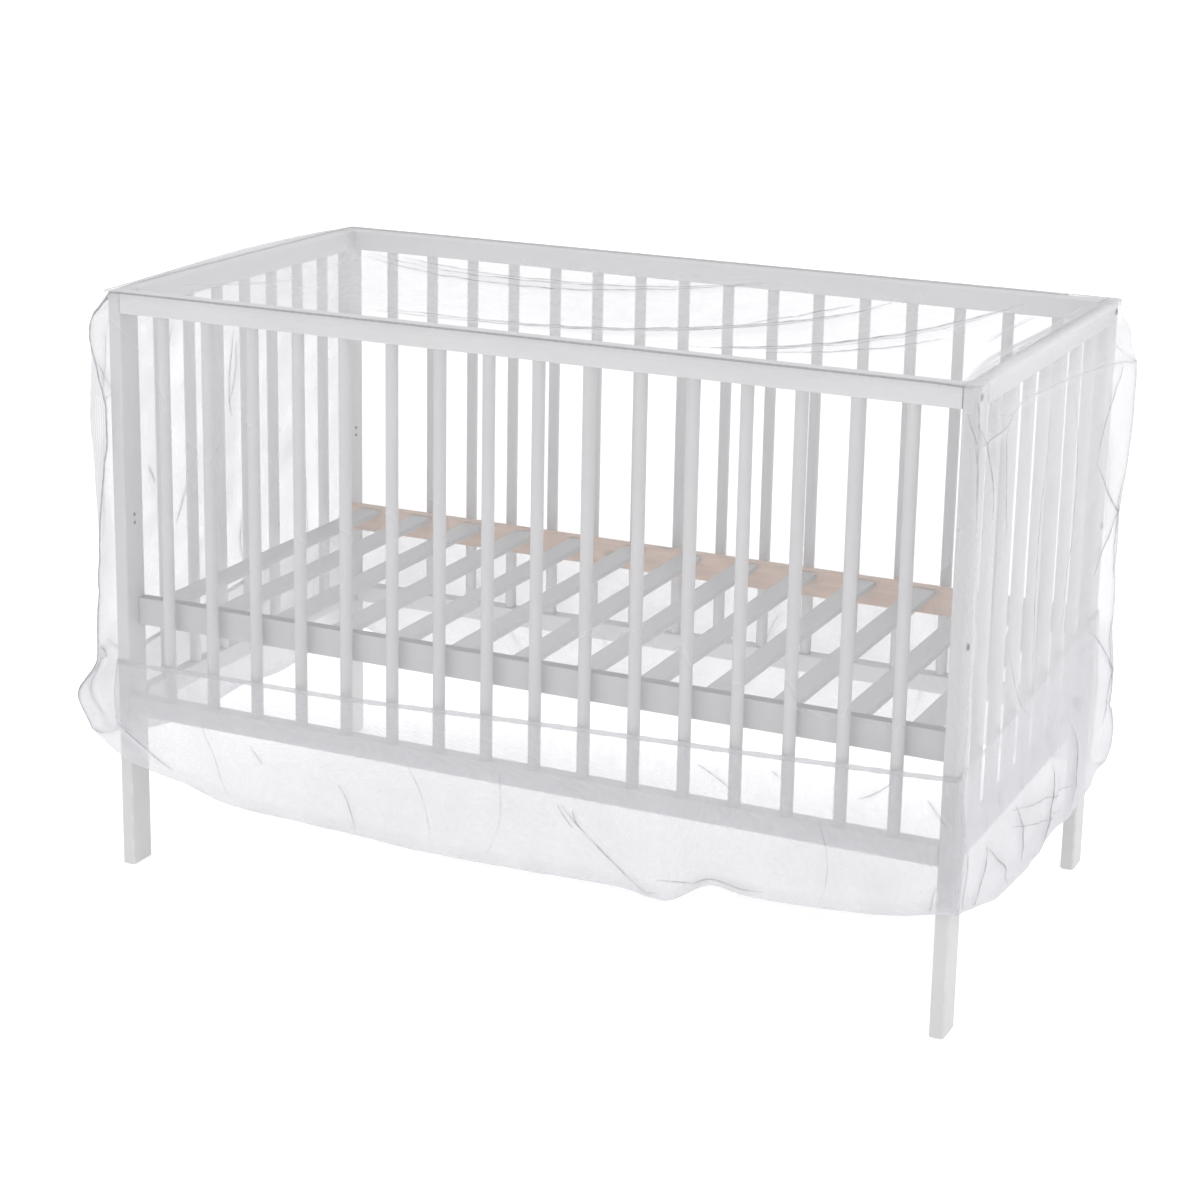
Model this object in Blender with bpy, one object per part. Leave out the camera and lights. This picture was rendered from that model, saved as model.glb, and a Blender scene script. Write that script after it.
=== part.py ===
"""Crib with a mosquito net drawn over it.

The crib is a plain slatted cot of painted wood. The net is five panels of fine mesh sewn together
and an elastic band: a top panel over the rails, four walls, and round the lower edge a loose pouch,
whose cloth turns back up to the elastic that grips the crib.

Metres, +Z up. X runs along the crib, the front is at -Y, and the origin is on the floor under the
middle of the whole part.
"""
from collections import namedtuple
from math import cos, pi, radians, sin, sqrt

import bmesh
import bpy
import numpy as np

# Crib
LENGTH = 1.240
WIDTH = 0.660
HEIGHT = 0.840
POST_THICK = 0.020
POST_DEPTH = 0.045
RAIL_HIGH = 0.030
RAIL_THICK = 0.024
LOW_RAIL_TOP = 0.257
LOW_RAIL_HIGH = 0.028
SLAT_DIAMETER = 0.017
SLAT_SIDES = 14
SIDE_SLATS = 16
SIDE_SLAT_PITCH = 0.0717
END_SLATS = 7
END_SLAT_PITCH = 0.074
TENON = 0.010
LEDGER_TOP = 0.397
LEDGER_HIGH = 0.040
LEDGER_THICK = 0.018
LEDGER_INSET = 0.027
CROSS_SLATS = 13
CROSS_SLAT_PITCH = 0.0933
CROSS_SLAT_WIDE = 0.034
CROSS_SLAT_THICK = 0.009
CROSS_SLAT_DROP = 0.002
HOUSING = 0.002
EDGE_ROUND = 0.0020
POST_ROUND = 0.0040
BOLT_DIAMETER = 0.009
BOLT_SIDES = 8
BOLT_Z = 0.515
BOLT_PROUD = 0.0012
JOINT_GAP = 0.0003

# Net
CLOTH = 0.0012
SEAM_GAP = 0.0004
RIM_INSIDE = 0.010
RIM_CLEAR = 0.0027
EDGE_CLEAR = 0.0028
FACE_CLEAR = 0.0044
RETURN_OUT = 0.0042
RETURN_TOP_OUT = 0.0026
BAND_THICK = 0.0016
BAND_HIGH = 0.0070
BAND_OUT = JOINT_GAP + BAND_THICK / 2
CORNER_ROUND = 0.0060
TURN_DEPTH = 0.010
OVERHANG_START = 0.002
LIFT_REACH = 0.200
TOP_SAG = 0.024
SAG_POWER_X = 1.5
SAG_POWER_Y = 2
POUCH_SHARE_AT_FOLD = 0.7
BELL_SHARE = 0.6
FOLD_SAMPLES = 41
COLUMNS_LONG = 30
COLUMNS_END = 16
OVERHANG_ROWS = 3
WALL_ROWS = 9
RETURN_ROWS = 3
TURN_ANGLES = (30.0, 90.0, 150.0)
SHOULDER_Z = 0.790
CHEST_Z = 0.660
WAIST_Z = 0.480

# The net's walls anticlockwise from the front, with the columns of their grids.
SIDES = (("net_front", COLUMNS_LONG), ("net_right", COLUMNS_END), ("net_back", COLUMNS_LONG),
         ("net_left", COLUMNS_END))

HALF_LENGTH = LENGTH / 2
HALF_WIDTH = WIDTH / 2
INNER_X = HALF_LENGTH - POST_THICK
INNER_Y = HALF_WIDTH - POST_DEPTH

# One row for each place where a wall of the net changes. "along" is X on the front and the back and
# Y on the ends. The outs are how far the cloth stands off the crib's face at the shoulder, chest,
# waist, elastic and pouch. The heights are those of the top seam, the elastic and the pouch's fold.
Station = namedtuple("Station", "along shoulder chest waist grip pouch seam_z grip_z fold_z")

FRONT = (
    Station(-0.620, 0.0080, 0.0090, 0.0090, 0.0110, 0.0200, 0.8150, 0.3060, 0.1980),
    Station(-0.557, 0.0060, 0.0070, 0.0070, 0.0100, 0.0220, 0.8320, 0.3070, 0.1610),
    Station(-0.473, 0.0055, 0.0060, 0.0065, 0.0095, 0.0210, 0.8340, 0.3090, 0.1450),
    Station(-0.402, 0.0055, 0.0065, 0.0070, 0.0095, 0.0240, 0.8340, 0.3100, 0.1270),
    Station(-0.303, 0.0055, 0.0060, 0.0065, 0.0095, 0.0220, 0.8340, 0.3110, 0.1230),
    Station(-0.221, 0.0055, 0.0060, 0.0070, 0.0095, 0.0260, 0.8340, 0.3130, 0.1220),
    Station(-0.104, 0.0055, 0.0065, 0.0070, 0.0095, 0.0220, 0.8340, 0.3180, 0.1160),
    Station(0.026, 0.0055, 0.0060, 0.0065, 0.0095, 0.0250, 0.8340, 0.3240, 0.1190),
    Station(0.187, 0.0055, 0.0065, 0.0070, 0.0095, 0.0280, 0.8340, 0.3300, 0.1240),
    Station(0.238, 0.0055, 0.0060, 0.0070, 0.0095, 0.0320, 0.8340, 0.3320, 0.1180),
    Station(0.304, 0.0055, 0.0060, 0.0065, 0.0095, 0.0200, 0.8340, 0.3340, 0.1500),
    Station(0.355, 0.0055, 0.0065, 0.0070, 0.0095, 0.0230, 0.8340, 0.3360, 0.1450),
    Station(0.476, 0.0055, 0.0065, 0.0065, 0.0095, 0.0220, 0.8340, 0.3410, 0.1510),
    Station(0.547, 0.0060, 0.0070, 0.0070, 0.0100, 0.0240, 0.8300, 0.3440, 0.1600),
    Station(0.620, 0.0080, 0.0090, 0.0090, 0.0120, 0.0220, 0.8000, 0.3470, 0.1750),
)
RIGHT = (
    Station(-0.330, 0.0100, 0.0120, 0.0110, 0.0120, 0.0220, 0.8000, 0.3470, 0.1750),
    Station(-0.250, 0.0170, 0.0110, 0.0110, 0.0120, 0.0300, 0.7800, 0.3510, 0.1580),
    Station(-0.167, 0.0120, 0.0140, 0.0120, 0.0120, 0.0280, 0.7770, 0.3550, 0.1360),
    Station(-0.060, 0.0160, 0.0130, 0.0110, 0.0120, 0.0360, 0.7760, 0.3610, 0.1340),
    Station(0.050, 0.0150, 0.0170, 0.0140, 0.0120, 0.0330, 0.7740, 0.3670, 0.1400),
    Station(0.147, 0.0210, 0.0180, 0.0150, 0.0125, 0.0370, 0.7700, 0.3740, 0.1340),
    Station(0.253, 0.0280, 0.0260, 0.0180, 0.0130, 0.0340, 0.7620, 0.3800, 0.1360),
    Station(0.330, 0.0350, 0.0320, 0.0210, 0.0140, 0.0390, 0.7540, 0.3840, 0.1520),
)
BACK = (
    Station(-0.620, 0.0080, 0.0090, 0.0090, 0.0120, 0.0200, 0.8050, 0.3700, 0.1760),
    Station(-0.520, 0.0060, 0.0070, 0.0070, 0.0100, 0.0240, 0.8320, 0.3700, 0.1540),
    Station(-0.340, 0.0055, 0.0060, 0.0065, 0.0095, 0.0210, 0.8340, 0.3710, 0.1420),
    Station(-0.160, 0.0055, 0.0065, 0.0070, 0.0095, 0.0260, 0.8340, 0.3720, 0.1340),
    Station(0.020, 0.0055, 0.0060, 0.0065, 0.0095, 0.0220, 0.8340, 0.3740, 0.1460),
    Station(0.210, 0.0055, 0.0065, 0.0070, 0.0095, 0.0270, 0.8340, 0.3770, 0.1400),
    Station(0.390, 0.0060, 0.0070, 0.0075, 0.0095, 0.0230, 0.8340, 0.3800, 0.1520),
    Station(0.540, 0.0080, 0.0090, 0.0090, 0.0105, 0.0260, 0.8200, 0.3820, 0.1460),
    Station(0.620, 0.0130, 0.0140, 0.0120, 0.0130, 0.0260, 0.7540, 0.3840, 0.1520),
)
LEFT = (
    Station(-0.330, 0.0290, 0.0360, 0.0330, 0.0340, 0.0560, 0.8150, 0.3060, 0.1980),
    Station(-0.230, 0.0210, 0.0270, 0.0300, 0.0260, 0.0480, 0.7980, 0.3160, 0.1740),
    Station(-0.120, 0.0250, 0.0300, 0.0240, 0.0200, 0.0420, 0.7920, 0.3260, 0.1600),
    Station(0.000, 0.0170, 0.0220, 0.0240, 0.0170, 0.0360, 0.7900, 0.3370, 0.1660),
    Station(0.120, 0.0190, 0.0230, 0.0180, 0.0150, 0.0380, 0.7920, 0.3490, 0.1560),
    Station(0.240, 0.0140, 0.0170, 0.0170, 0.0130, 0.0310, 0.7980, 0.3620, 0.1680),
    Station(0.330, 0.0130, 0.0150, 0.0140, 0.0130, 0.0290, 0.8050, 0.3700, 0.1760),
)

# Folds across the walls: a soft ridge from one place to another, both given along the wall and in
# height, with its half width and how far it stands out.
Fold = namedtuple("Fold", "from_along from_z to_along to_z half_width out")

FRONT_FOLDS = (
    Fold(-0.555, 0.240, -0.470, 0.165, 0.030, 0.006),
    Fold(0.100, 0.250, 0.235, 0.140, 0.030, 0.012),
    Fold(0.240, 0.180, 0.380, 0.170, 0.025, -0.005),
    Fold(0.520, 0.260, 0.600, 0.200, 0.030, 0.005),
)
RIGHT_FOLDS = (
    Fold(-0.200, 0.300, -0.190, 0.160, 0.024, 0.007),
    Fold(0.010, 0.320, 0.000, 0.150, 0.026, 0.008),
    Fold(0.130, 0.310, 0.140, 0.150, 0.026, 0.007),
    Fold(-0.270, 0.760, -0.230, 0.560, 0.028, 0.008),
    Fold(0.300, 0.700, 0.240, 0.430, 0.032, 0.007),
    Fold(0.210, 0.420, 0.310, 0.270, 0.030, 0.006),
)
BACK_FOLDS = (
    Fold(-0.400, 0.300, -0.300, 0.170, 0.032, 0.006),
    Fold(0.120, 0.310, 0.060, 0.170, 0.032, 0.007),
    Fold(0.460, 0.300, 0.520, 0.180, 0.030, 0.006),
)
LEFT_FOLDS = (
    Fold(-0.290, 0.780, -0.270, 0.420, 0.028, 0.006),
    Fold(-0.120, 0.760, -0.170, 0.450, 0.030, 0.008),
    Fold(0.060, 0.750, 0.020, 0.420, 0.032, 0.007),
    Fold(-0.080, 0.420, 0.010, 0.220, 0.032, 0.008),
    Fold(0.200, 0.740, 0.220, 0.300, 0.030, 0.006),
)

# Folds of the sagging top: a ridge bowed through three places, its half width and its height.
TopFold = namedtuple("TopFold", "start middle end half_width height")

TOP_FOLDS = (
    TopFold((-0.500, 0.190), (-0.130, -0.030), (0.330, 0.170), 0.034, 0.009),
    TopFold((-0.420, -0.250), (0.120, -0.230), (0.470, 0.140), 0.032, 0.009),
    TopFold((0.250, -0.270), (0.450, -0.130), (0.560, 0.150), 0.030, 0.008),
)

# Where the top stands up off the end rails instead of lying on them, by Y.
Lift = namedtuple("Lift", "along height")
LEFT_LIFT = (Lift(-0.33, 0.0), Lift(-0.18, 0.004), Lift(0.02, 0.009), Lift(0.20, 0.006), Lift(0.33, 0.0))
RIGHT_LIFT = (Lift(-0.33, 0.0), Lift(-0.22, 0.012), Lift(-0.02, 0.006), Lift(0.18, 0.003), Lift(0.33, 0.0))


# Materials

def make_material(name, colour, roughness, alpha=1.0):
    material = bpy.data.materials.new(name)
    material.use_nodes = True
    shader = material.node_tree.nodes["Principled BSDF"]
    shader.inputs["Base Color"].default_value = (*colour, 1.0)
    shader.inputs["Roughness"].default_value = roughness
    shader.inputs["Metallic"].default_value = 0.0
    shader.inputs["Alpha"].default_value = alpha
    material.diffuse_color = (*colour, alpha)
    return material


# Wooden pieces

def place(name, mesh, material):
    mesh.name = name
    mesh.materials.append(material)
    item = bpy.data.objects.new(name, mesh)
    bpy.context.scene.collection.objects.link(item)
    return item


def hide_helper(item):
    item.hide_render = True
    item.display_type = "WIRE"


def mesh_from(shape):
    mesh = bpy.data.meshes.new("piece")
    bmesh.ops.recalc_face_normals(shape, faces=shape.faces)
    shape.to_mesh(mesh)
    shape.free()
    return mesh


def add_block(shape, low, high, rounding=0.0):
    """Adds a box between two corners, with its edges cut by the rounding."""
    size = [b - a for a, b in zip(low, high)]
    centre = [(a + b) / 2 for a, b in zip(low, high)]
    made = bmesh.ops.create_cube(shape, size=1.0)["verts"]
    bmesh.ops.scale(shape, vec=size, verts=made)
    bmesh.ops.translate(shape, vec=centre, verts=made)
    if rounding:
        edges = {edge for vert in made for edge in vert.link_edges}
        bmesh.ops.bevel(shape, geom=list(edges), offset=rounding, segments=1, profile=0.5, affect="EDGES")


def add_dowel(shape, x, y, low_z, high_z, diameter, sides=SLAT_SIDES):
    """Adds an upright round bar."""
    made = bmesh.ops.create_cone(
        shape, cap_ends=True, segments=sides, radius1=diameter / 2, radius2=diameter / 2,
        depth=high_z - low_z)["verts"]
    bmesh.ops.translate(shape, vec=(x, y, (low_z + high_z) / 2), verts=made)


def block(name, low, high, material, rounding=EDGE_ROUND):
    shape = bmesh.new()
    add_block(shape, low, high, rounding)
    return place(name, mesh_from(shape), material)


def unite(item, shape, helper_name):
    """Joins a second shape to an object with a Boolean, so that both are one body."""
    helper = place(helper_name, mesh_from(shape), item.data.materials[0])
    hide_helper(helper)
    joint = item.modifiers.new("joined", "BOOLEAN")
    joint.operation = "UNION"
    joint.solver = "EXACT"
    joint.object = helper


def smooth_round(item):
    item.data.shade_smooth()
    item.data.set_sharp_from_angle(angle=radians(40.0))


def build_posts(material):
    for end, end_sign in (("left", -1), ("right", 1)):
        for side, side_sign in (("front", -1), ("back", 1)):
            xs = sorted((end_sign * INNER_X, end_sign * HALF_LENGTH))
            ys = sorted((side_sign * INNER_Y, side_sign * HALF_WIDTH))
            low = (xs[0], ys[0], 0.0)
            high = (xs[1], ys[1], HEIGHT)
            block("post_%s_%s" % (side, end), low, high, material, POST_ROUND)


def side_rail_y(side_sign):
    """The middle of a long rail across the crib."""
    return side_sign * (HALF_WIDTH - RAIL_THICK / 2)


def build_side_rails(material):
    reach = INNER_X - JOINT_GAP
    heights = (("top", HEIGHT - RAIL_HIGH, HEIGHT), ("bottom", LOW_RAIL_TOP - LOW_RAIL_HIGH, LOW_RAIL_TOP))
    for side, sign in (("front", -1), ("back", 1)):
        middle = side_rail_y(sign)
        for level, low_z, high_z in heights:
            low = (-reach, middle - RAIL_THICK / 2, low_z)
            high = (reach, middle + RAIL_THICK / 2, high_z)
            block("rail_%s_%s" % (side, level), low, high, material)


def build_side_slats(material):
    low_z = LOW_RAIL_TOP + JOINT_GAP
    high_z = HEIGHT - RAIL_HIGH - JOINT_GAP
    for side, sign in (("front", -1), ("back", 1)):
        for number in range(SIDE_SLATS):
            x = (number - (SIDE_SLATS - 1) / 2) * SIDE_SLAT_PITCH
            shape = bmesh.new()
            add_dowel(shape, x, side_rail_y(sign), low_z, high_z, SLAT_DIAMETER)
            item = place("slat_%s_%02d" % (side, number + 1), mesh_from(shape), material)
            smooth_round(item)


def build_ends(material):
    """Each end: two rails between the posts and seven slats, glued up as one grille."""
    reach = INNER_Y - JOINT_GAP
    for end, sign in (("left", -1), ("right", 1)):
        xs = sorted((sign * INNER_X, sign * HALF_LENGTH))
        rails = bmesh.new()
        add_block(rails, (xs[0], -reach, HEIGHT - RAIL_HIGH), (xs[1], reach, HEIGHT), EDGE_ROUND)
        add_block(rails, (xs[0], -reach, LOW_RAIL_TOP - LOW_RAIL_HIGH), (xs[1], reach, LOW_RAIL_TOP),
                  EDGE_ROUND)
        grille = place("end_%s" % end, mesh_from(rails), material)
        slats = bmesh.new()
        for number in range(END_SLATS):
            y = (number - (END_SLATS - 1) / 2) * END_SLAT_PITCH
            add_dowel(slats, sum(xs) / 2, y, LOW_RAIL_TOP - TENON, HEIGHT - RAIL_HIGH + TENON,
                      SLAT_DIAMETER)
        unite(grille, slats, "end_%s_slats" % end)


def build_base(paint, pine):
    """The slatted base: a painted front ledger with the cross slats, and a back ledger bare inside."""
    outer = HALF_WIDTH - LEDGER_INSET
    inner = outer - LEDGER_THICK
    reach = INNER_X - JOINT_GAP
    low_z = LEDGER_TOP - LEDGER_HIGH
    ledger = block("base_frame", (-reach, -outer, low_z), (reach, -inner, LEDGER_TOP), paint, 0.0)
    slats = bmesh.new()
    top = LEDGER_TOP - CROSS_SLAT_DROP
    for number in range(CROSS_SLATS):
        x = (number - (CROSS_SLATS - 1) / 2) * CROSS_SLAT_PITCH
        low = (x - CROSS_SLAT_WIDE / 2, -inner - HOUSING, top - CROSS_SLAT_THICK)
        high = (x + CROSS_SLAT_WIDE / 2, inner - JOINT_GAP, top)
        add_block(slats, low, high)
    unite(ledger, slats, "base_cross_slats")
    block("base_back_ledger", (-reach, inner, low_z), (reach, outer, LEDGER_TOP), pine, 0.0)


def build_bolts(material):
    """Bolt heads on the posts' outer faces, at the top rails and at mid height."""
    levels = (("top", HEIGHT - RAIL_HIGH / 2), ("mid", BOLT_Z))
    for end, end_sign in (("left", -1), ("right", 1)):
        for side, side_sign in (("front", -1), ("back", 1)):
            for level, z in levels:
                shape = bmesh.new()
                add_dowel(shape, 0.0, 0.0, 0.0, BOLT_PROUD, BOLT_DIAMETER, BOLT_SIDES)
                item = place("bolt_%s_%s_%s" % (level, side, end), mesh_from(shape), material)
                item.rotation_euler = (0.0, end_sign * pi / 2, 0.0)
                item.location = (end_sign * (HALF_LENGTH + JOINT_GAP), side_rail_y(side_sign), z)


# Net shape

def easing(x, xs, ys):
    """A smooth curve through given points that never overshoots them (monotone cubic)."""
    xs = np.asarray(xs, float)
    ys = np.asarray(ys, float)
    step = np.diff(xs)
    rise = np.diff(ys) / step
    slope = np.zeros_like(ys)
    same = rise[:-1] * rise[1:] > 0
    mean = 2.0 / (1.0 / np.where(same, rise[:-1], 1.0) + 1.0 / np.where(same, rise[1:], 1.0))
    slope[1:-1] = np.where(same, mean, 0.0)
    cell = np.clip(np.searchsorted(xs, x, side="right") - 1, 0, len(xs) - 2)
    t = np.clip((x - xs[cell]) / step[cell], 0.0, 1.0)
    first = ys[cell] * (1 + 2 * t) * (1 - t) ** 2 + slope[cell] * step[cell] * t * (1 - t) ** 2
    second = ys[cell + 1] * t * t * (3 - 2 * t) - slope[cell + 1] * step[cell] * t * t * (1 - t)
    return first + second


def station_value(table, name, along):
    return easing(np.asarray(along, float), [row.along for row in table], [getattr(row, name) for row in table])


def fold_out(folds, along, z):
    """How far the listed folds push the cloth out at a place on a wall."""
    total = np.zeros(np.broadcast(along, z).shape)
    for fold in folds:
        du = fold.to_along - fold.from_along
        dz = fold.to_z - fold.from_z
        share = ((along - fold.from_along) * du + (z - fold.from_z) * dz) / (du * du + dz * dz)
        near = np.clip(share, 0.0, 1.0)
        gap2 = (along - fold.from_along - near * du) ** 2 + (z - fold.from_z - near * dz) ** 2
        total += fold.out * np.exp(-gap2 / (2 * (BELL_SHARE * fold.half_width) ** 2))
    return total


def wall_out(table, folds, along, z):
    """How far a wall's outer layer stands off the crib at heights z, for the places along it."""
    out = np.empty(np.broadcast(along, z).shape)
    values = {name: station_value(table, name, along) for name in Station._fields[1:]}
    for column in range(len(along)):
        v = {name: float(row[column]) for name, row in values.items()}
        knots = (-HEIGHT, -SHOULDER_Z, -CHEST_Z, -WAIST_Z, -v["grip_z"], -(v["grip_z"] + v["fold_z"]) / 2,
                 -v["fold_z"])
        outs = (FACE_CLEAR, v["shoulder"], v["chest"], v["waist"], v["grip"], v["pouch"],
                POUCH_SHARE_AT_FOLD * v["pouch"])
        out[:, column] = easing(-z[:, column], knots, outs)
    return np.maximum(out + fold_out(folds, along[None, :], z), FACE_CLEAR)


def column_shares(count):
    """The columns of a side's straight part, evenly from -1 to 1. The corner arc at each end adds one
    column more, at the arc's middle, which the side shares with the next one."""
    return np.linspace(-1.0, 1.0, count - 1)


def ring_points(out_front, out_right, out_back, out_left, z, rounding=CORNER_ROUND):
    """One loop of the net round the crib, anticlockwise from the front left corner.

    Each out has a value for every column of its side, corners included.
    """
    corner = rounding * (1 - 1 / sqrt(2))
    right = HALF_LENGTH + out_right
    left = -HALF_LENGTH - out_left
    front = -HALF_WIDTH - out_front
    back = HALF_WIDTH + out_back

    def along_x(values, row):
        share = column_shares(COLUMNS_LONG)
        low = left[row] + rounding
        high = right[row] - rounding
        inside = low + (high - low) * (share + 1) / 2
        ends = (left[row] + corner, right[row] - corner)
        xs = np.concatenate(([ends[0]], inside, [ends[1]]))
        shift = np.zeros_like(values)
        shift[0] = shift[-1] = corner
        return xs, shift

    def along_y(values, low_face, high_face):
        share = column_shares(COLUMNS_END)
        low = low_face + rounding
        high = high_face - rounding
        inside = low + (high - low) * (share + 1) / 2
        ys = np.concatenate(([low_face + corner], inside, [high_face - corner]))
        shift = np.zeros_like(values)
        shift[0] = shift[-1] = corner
        return ys, shift

    front_x, front_shift = along_x(front, 0)
    back_x, back_shift = along_x(back, -1)
    right_y, right_shift = along_y(right, front[-1], back[-1])
    left_y, left_shift = along_y(left, front[0], back[0])
    loop_x = np.concatenate((front_x[:-1], (right - right_shift)[:-1], back_x[::-1][:-1],
                             (left + left_shift)[::-1][:-1]))
    loop_y = np.concatenate(((front + front_shift)[:-1], right_y[:-1], (back - back_shift)[::-1][:-1],
                             left_y[::-1][:-1]))
    return np.stack((loop_x, loop_y, z), axis=1)


def side_places():
    """Nominal places of the columns along the long sides and the ends, corners included."""
    long_side = np.concatenate(([-HALF_LENGTH], column_shares(COLUMNS_LONG) * (HALF_LENGTH - CORNER_ROUND),
                                [HALF_LENGTH]))
    short_side = np.concatenate(([-HALF_WIDTH], column_shares(COLUMNS_END) * (HALF_WIDTH - CORNER_ROUND),
                                 [HALF_WIDTH]))
    return long_side, short_side


def round_loop(front, right, back, left):
    """Joins four sides' values into one loop, dropping each side's last."""
    return np.concatenate((front[:-1], right[:-1], back[::-1][:-1], left[::-1][:-1]))


def loop_station(name):
    long_side, short_side = side_places()
    return round_loop(station_value(FRONT, name, long_side), station_value(RIGHT, name, short_side),
                      station_value(BACK, name, long_side), station_value(LEFT, name, short_side))


def split_loop(values):
    """Cuts one loop of values into its four sides, each with both corners, in ascending order."""
    a = COLUMNS_LONG
    b = a + COLUMNS_END
    c = b + COLUMNS_LONG
    closed = np.concatenate((values, values[:1]))
    return closed[:a + 1], closed[a:b + 1], closed[b:c + 1][::-1], closed[c:][::-1]


def loop_lift():
    long_side, short_side = side_places()
    flat = np.zeros_like(long_side)
    right = easing(short_side, [row.along for row in RIGHT_LIFT], [row.height for row in RIGHT_LIFT])
    left = easing(short_side, [row.along for row in LEFT_LIFT], [row.height for row in LEFT_LIFT])
    return round_loop(flat, right, flat, left)


def outer_ring(z):
    """The loop of the net's outer layer at the height z of each column."""
    long_side, short_side = side_places()
    z_front, z_right, z_back, z_left = split_loop(z)
    outs = (wall_out(FRONT, FRONT_FOLDS, long_side, z_front[None, :])[0],
            wall_out(RIGHT, RIGHT_FOLDS, short_side, z_right[None, :])[0],
            wall_out(BACK, BACK_FOLDS, long_side, z_back[None, :])[0],
            wall_out(LEFT, LEFT_FOLDS, short_side, z_left[None, :])[0])
    return ring_points(*outs, z), outs


def top_height(x, y):
    """Height of the top panel: flat on the rails, sagging inside them, with soft folds."""
    depth_x = np.clip((HALF_LENGTH - RAIL_THICK - np.abs(x)) / (HALF_LENGTH - RAIL_THICK), 0.0, 1.0)
    depth_y = np.clip((HALF_WIDTH - RAIL_THICK - np.abs(y)) / (HALF_WIDTH - RAIL_THICK), 0.0, 1.0)
    bowl = np.sin(pi / 2 * np.sqrt(depth_x)) ** SAG_POWER_X * np.sin(pi / 2 * np.sqrt(depth_y)) ** SAG_POWER_Y
    ridges = np.zeros_like(x)
    for fold in TOP_FOLDS:
        t = np.linspace(0.0, 1.0, FOLD_SAMPLES)[:, None]
        a, b, c = (np.array(point) for point in (fold.start, fold.middle, fold.end))
        path = a * (1 - t) * (1 - 2 * t) + b * 4 * t * (1 - t) + c * t * (2 * t - 1)
        gap2 = ((x[..., None] - path[:, 0]) ** 2 + (y[..., None] - path[:, 1]) ** 2).min(axis=-1)
        ridges += fold.height * np.exp(-gap2 / (2 * (BELL_SHARE * fold.half_width) ** 2))
    return HEIGHT + RIM_CLEAR - (TOP_SAG - ridges) * bowl


def top_grid(rim, lift):
    """The top panel inside its rim: columns by rows, with the rim as its border."""
    xs = split_loop(rim[:, 0])[0]
    ys = split_loop(rim[:, 1])[1]
    x, y = np.meshgrid(xs, ys, indexing="ij")
    lift_right = split_loop(lift)[1]
    lift_left = split_loop(lift)[3]
    fade_right = np.clip(1 - (HALF_LENGTH - x) / LIFT_REACH, 0.0, 1.0) ** 2
    fade_left = np.clip(1 - (HALF_LENGTH + x) / LIFT_REACH, 0.0, 1.0) ** 2
    z = top_height(x, y) + fade_right * lift_right[None, :] + fade_left * lift_left[None, :]
    return np.stack((x, y, z), axis=-1)


def level_ring(out, z, rounding=CORNER_ROUND):
    """A loop that stands equally far off the crib all round."""
    outs = [np.full(number + 1, out) for name, number in SIDES]
    return ring_points(*outs, z, rounding)


def net_rings(rim_z):
    """The net's loops from the rim on the rails down to the pouch and back up to the elastic.

    Also gives the number of the loop at which the top panel is sewn to the walls.
    """
    seam = loop_station("seam_z")
    grip = loop_station("grip_z")
    rings = [level_ring(EDGE_CLEAR, rim_z - RIM_CLEAR + EDGE_CLEAR)]
    start = np.full(len(seam), HEIGHT - OVERHANG_START)
    for row in range(OVERHANG_ROWS):
        share = row / (OVERHANG_ROWS - 1)
        rings.append(outer_ring(start + (seam - start) * share)[0])
    seam_ring = len(rings) - 1
    bend = loop_station("fold_z") + TURN_DEPTH
    for row in range(1, WALL_ROWS + 1):
        ring, outs = outer_ring(seam + (bend - seam) * row / WALL_ROWS)
        rings.append(ring)
    for angle in TURN_ANGLES:
        across = cos(radians(angle))
        turned = [(out + RETURN_OUT) / 2 + (out - RETURN_OUT) / 2 * across for out in outs]
        rings.append(ring_points(*turned, bend - TURN_DEPTH * sin(radians(angle))))
    stop = grip - BAND_HIGH / 2 - JOINT_GAP
    for row in range(RETURN_ROWS):
        rings.append(level_ring(RETURN_OUT, bend + (stop - bend) * row / RETURN_ROWS))
    rings.append(level_ring(RETURN_TOP_OUT, stop))
    return rings, seam_ring


def net_surface():
    """The whole net's middle surface: its points, its quads, and the piece that each quad is on."""
    lift = loop_lift()
    rim_z = HEIGHT + RIM_CLEAR + lift
    grid = top_grid(level_ring(-RIM_INSIDE, rim_z), lift)
    rings, seam_ring = net_rings(rim_z)
    count = len(lift)

    def grid_index(i, j):
        return i * (COLUMNS_END + 1) + j

    border = [grid_index(i, 0) for i in range(COLUMNS_LONG)]
    border += [grid_index(COLUMNS_LONG, j) for j in range(COLUMNS_END)]
    border += [grid_index(i, COLUMNS_END) for i in range(COLUMNS_LONG, 0, -1)]
    border += [grid_index(0, j) for j in range(COLUMNS_END, 0, -1)]
    points = np.concatenate([grid.reshape(-1, 3)] + rings)
    offset = grid.shape[0] * grid.shape[1]
    quads = []
    owner = []
    for i in range(COLUMNS_LONG):
        for j in range(COLUMNS_END):
            quads.append((grid_index(i, j), grid_index(i + 1, j), grid_index(i + 1, j + 1),
                          grid_index(i, j + 1)))
            owner.append("net_top")
    wall_names = [name for name, number in SIDES for _ in range(number)]
    for row in range(-1, len(rings) - 1):
        for column in range(count):
            following = (column + 1) % count
            if row < 0:
                upper = (border[column], border[following])
            else:
                upper = (offset + row * count + column, offset + row * count + following)
            lower = (offset + (row + 1) * count + column, offset + (row + 1) * count + following)
            quads.append((upper[0], lower[0], lower[1], upper[1]))
            owner.append("net_top" if row < seam_ring else wall_names[column])
    return points, np.array(quads), np.array(owner)


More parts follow.
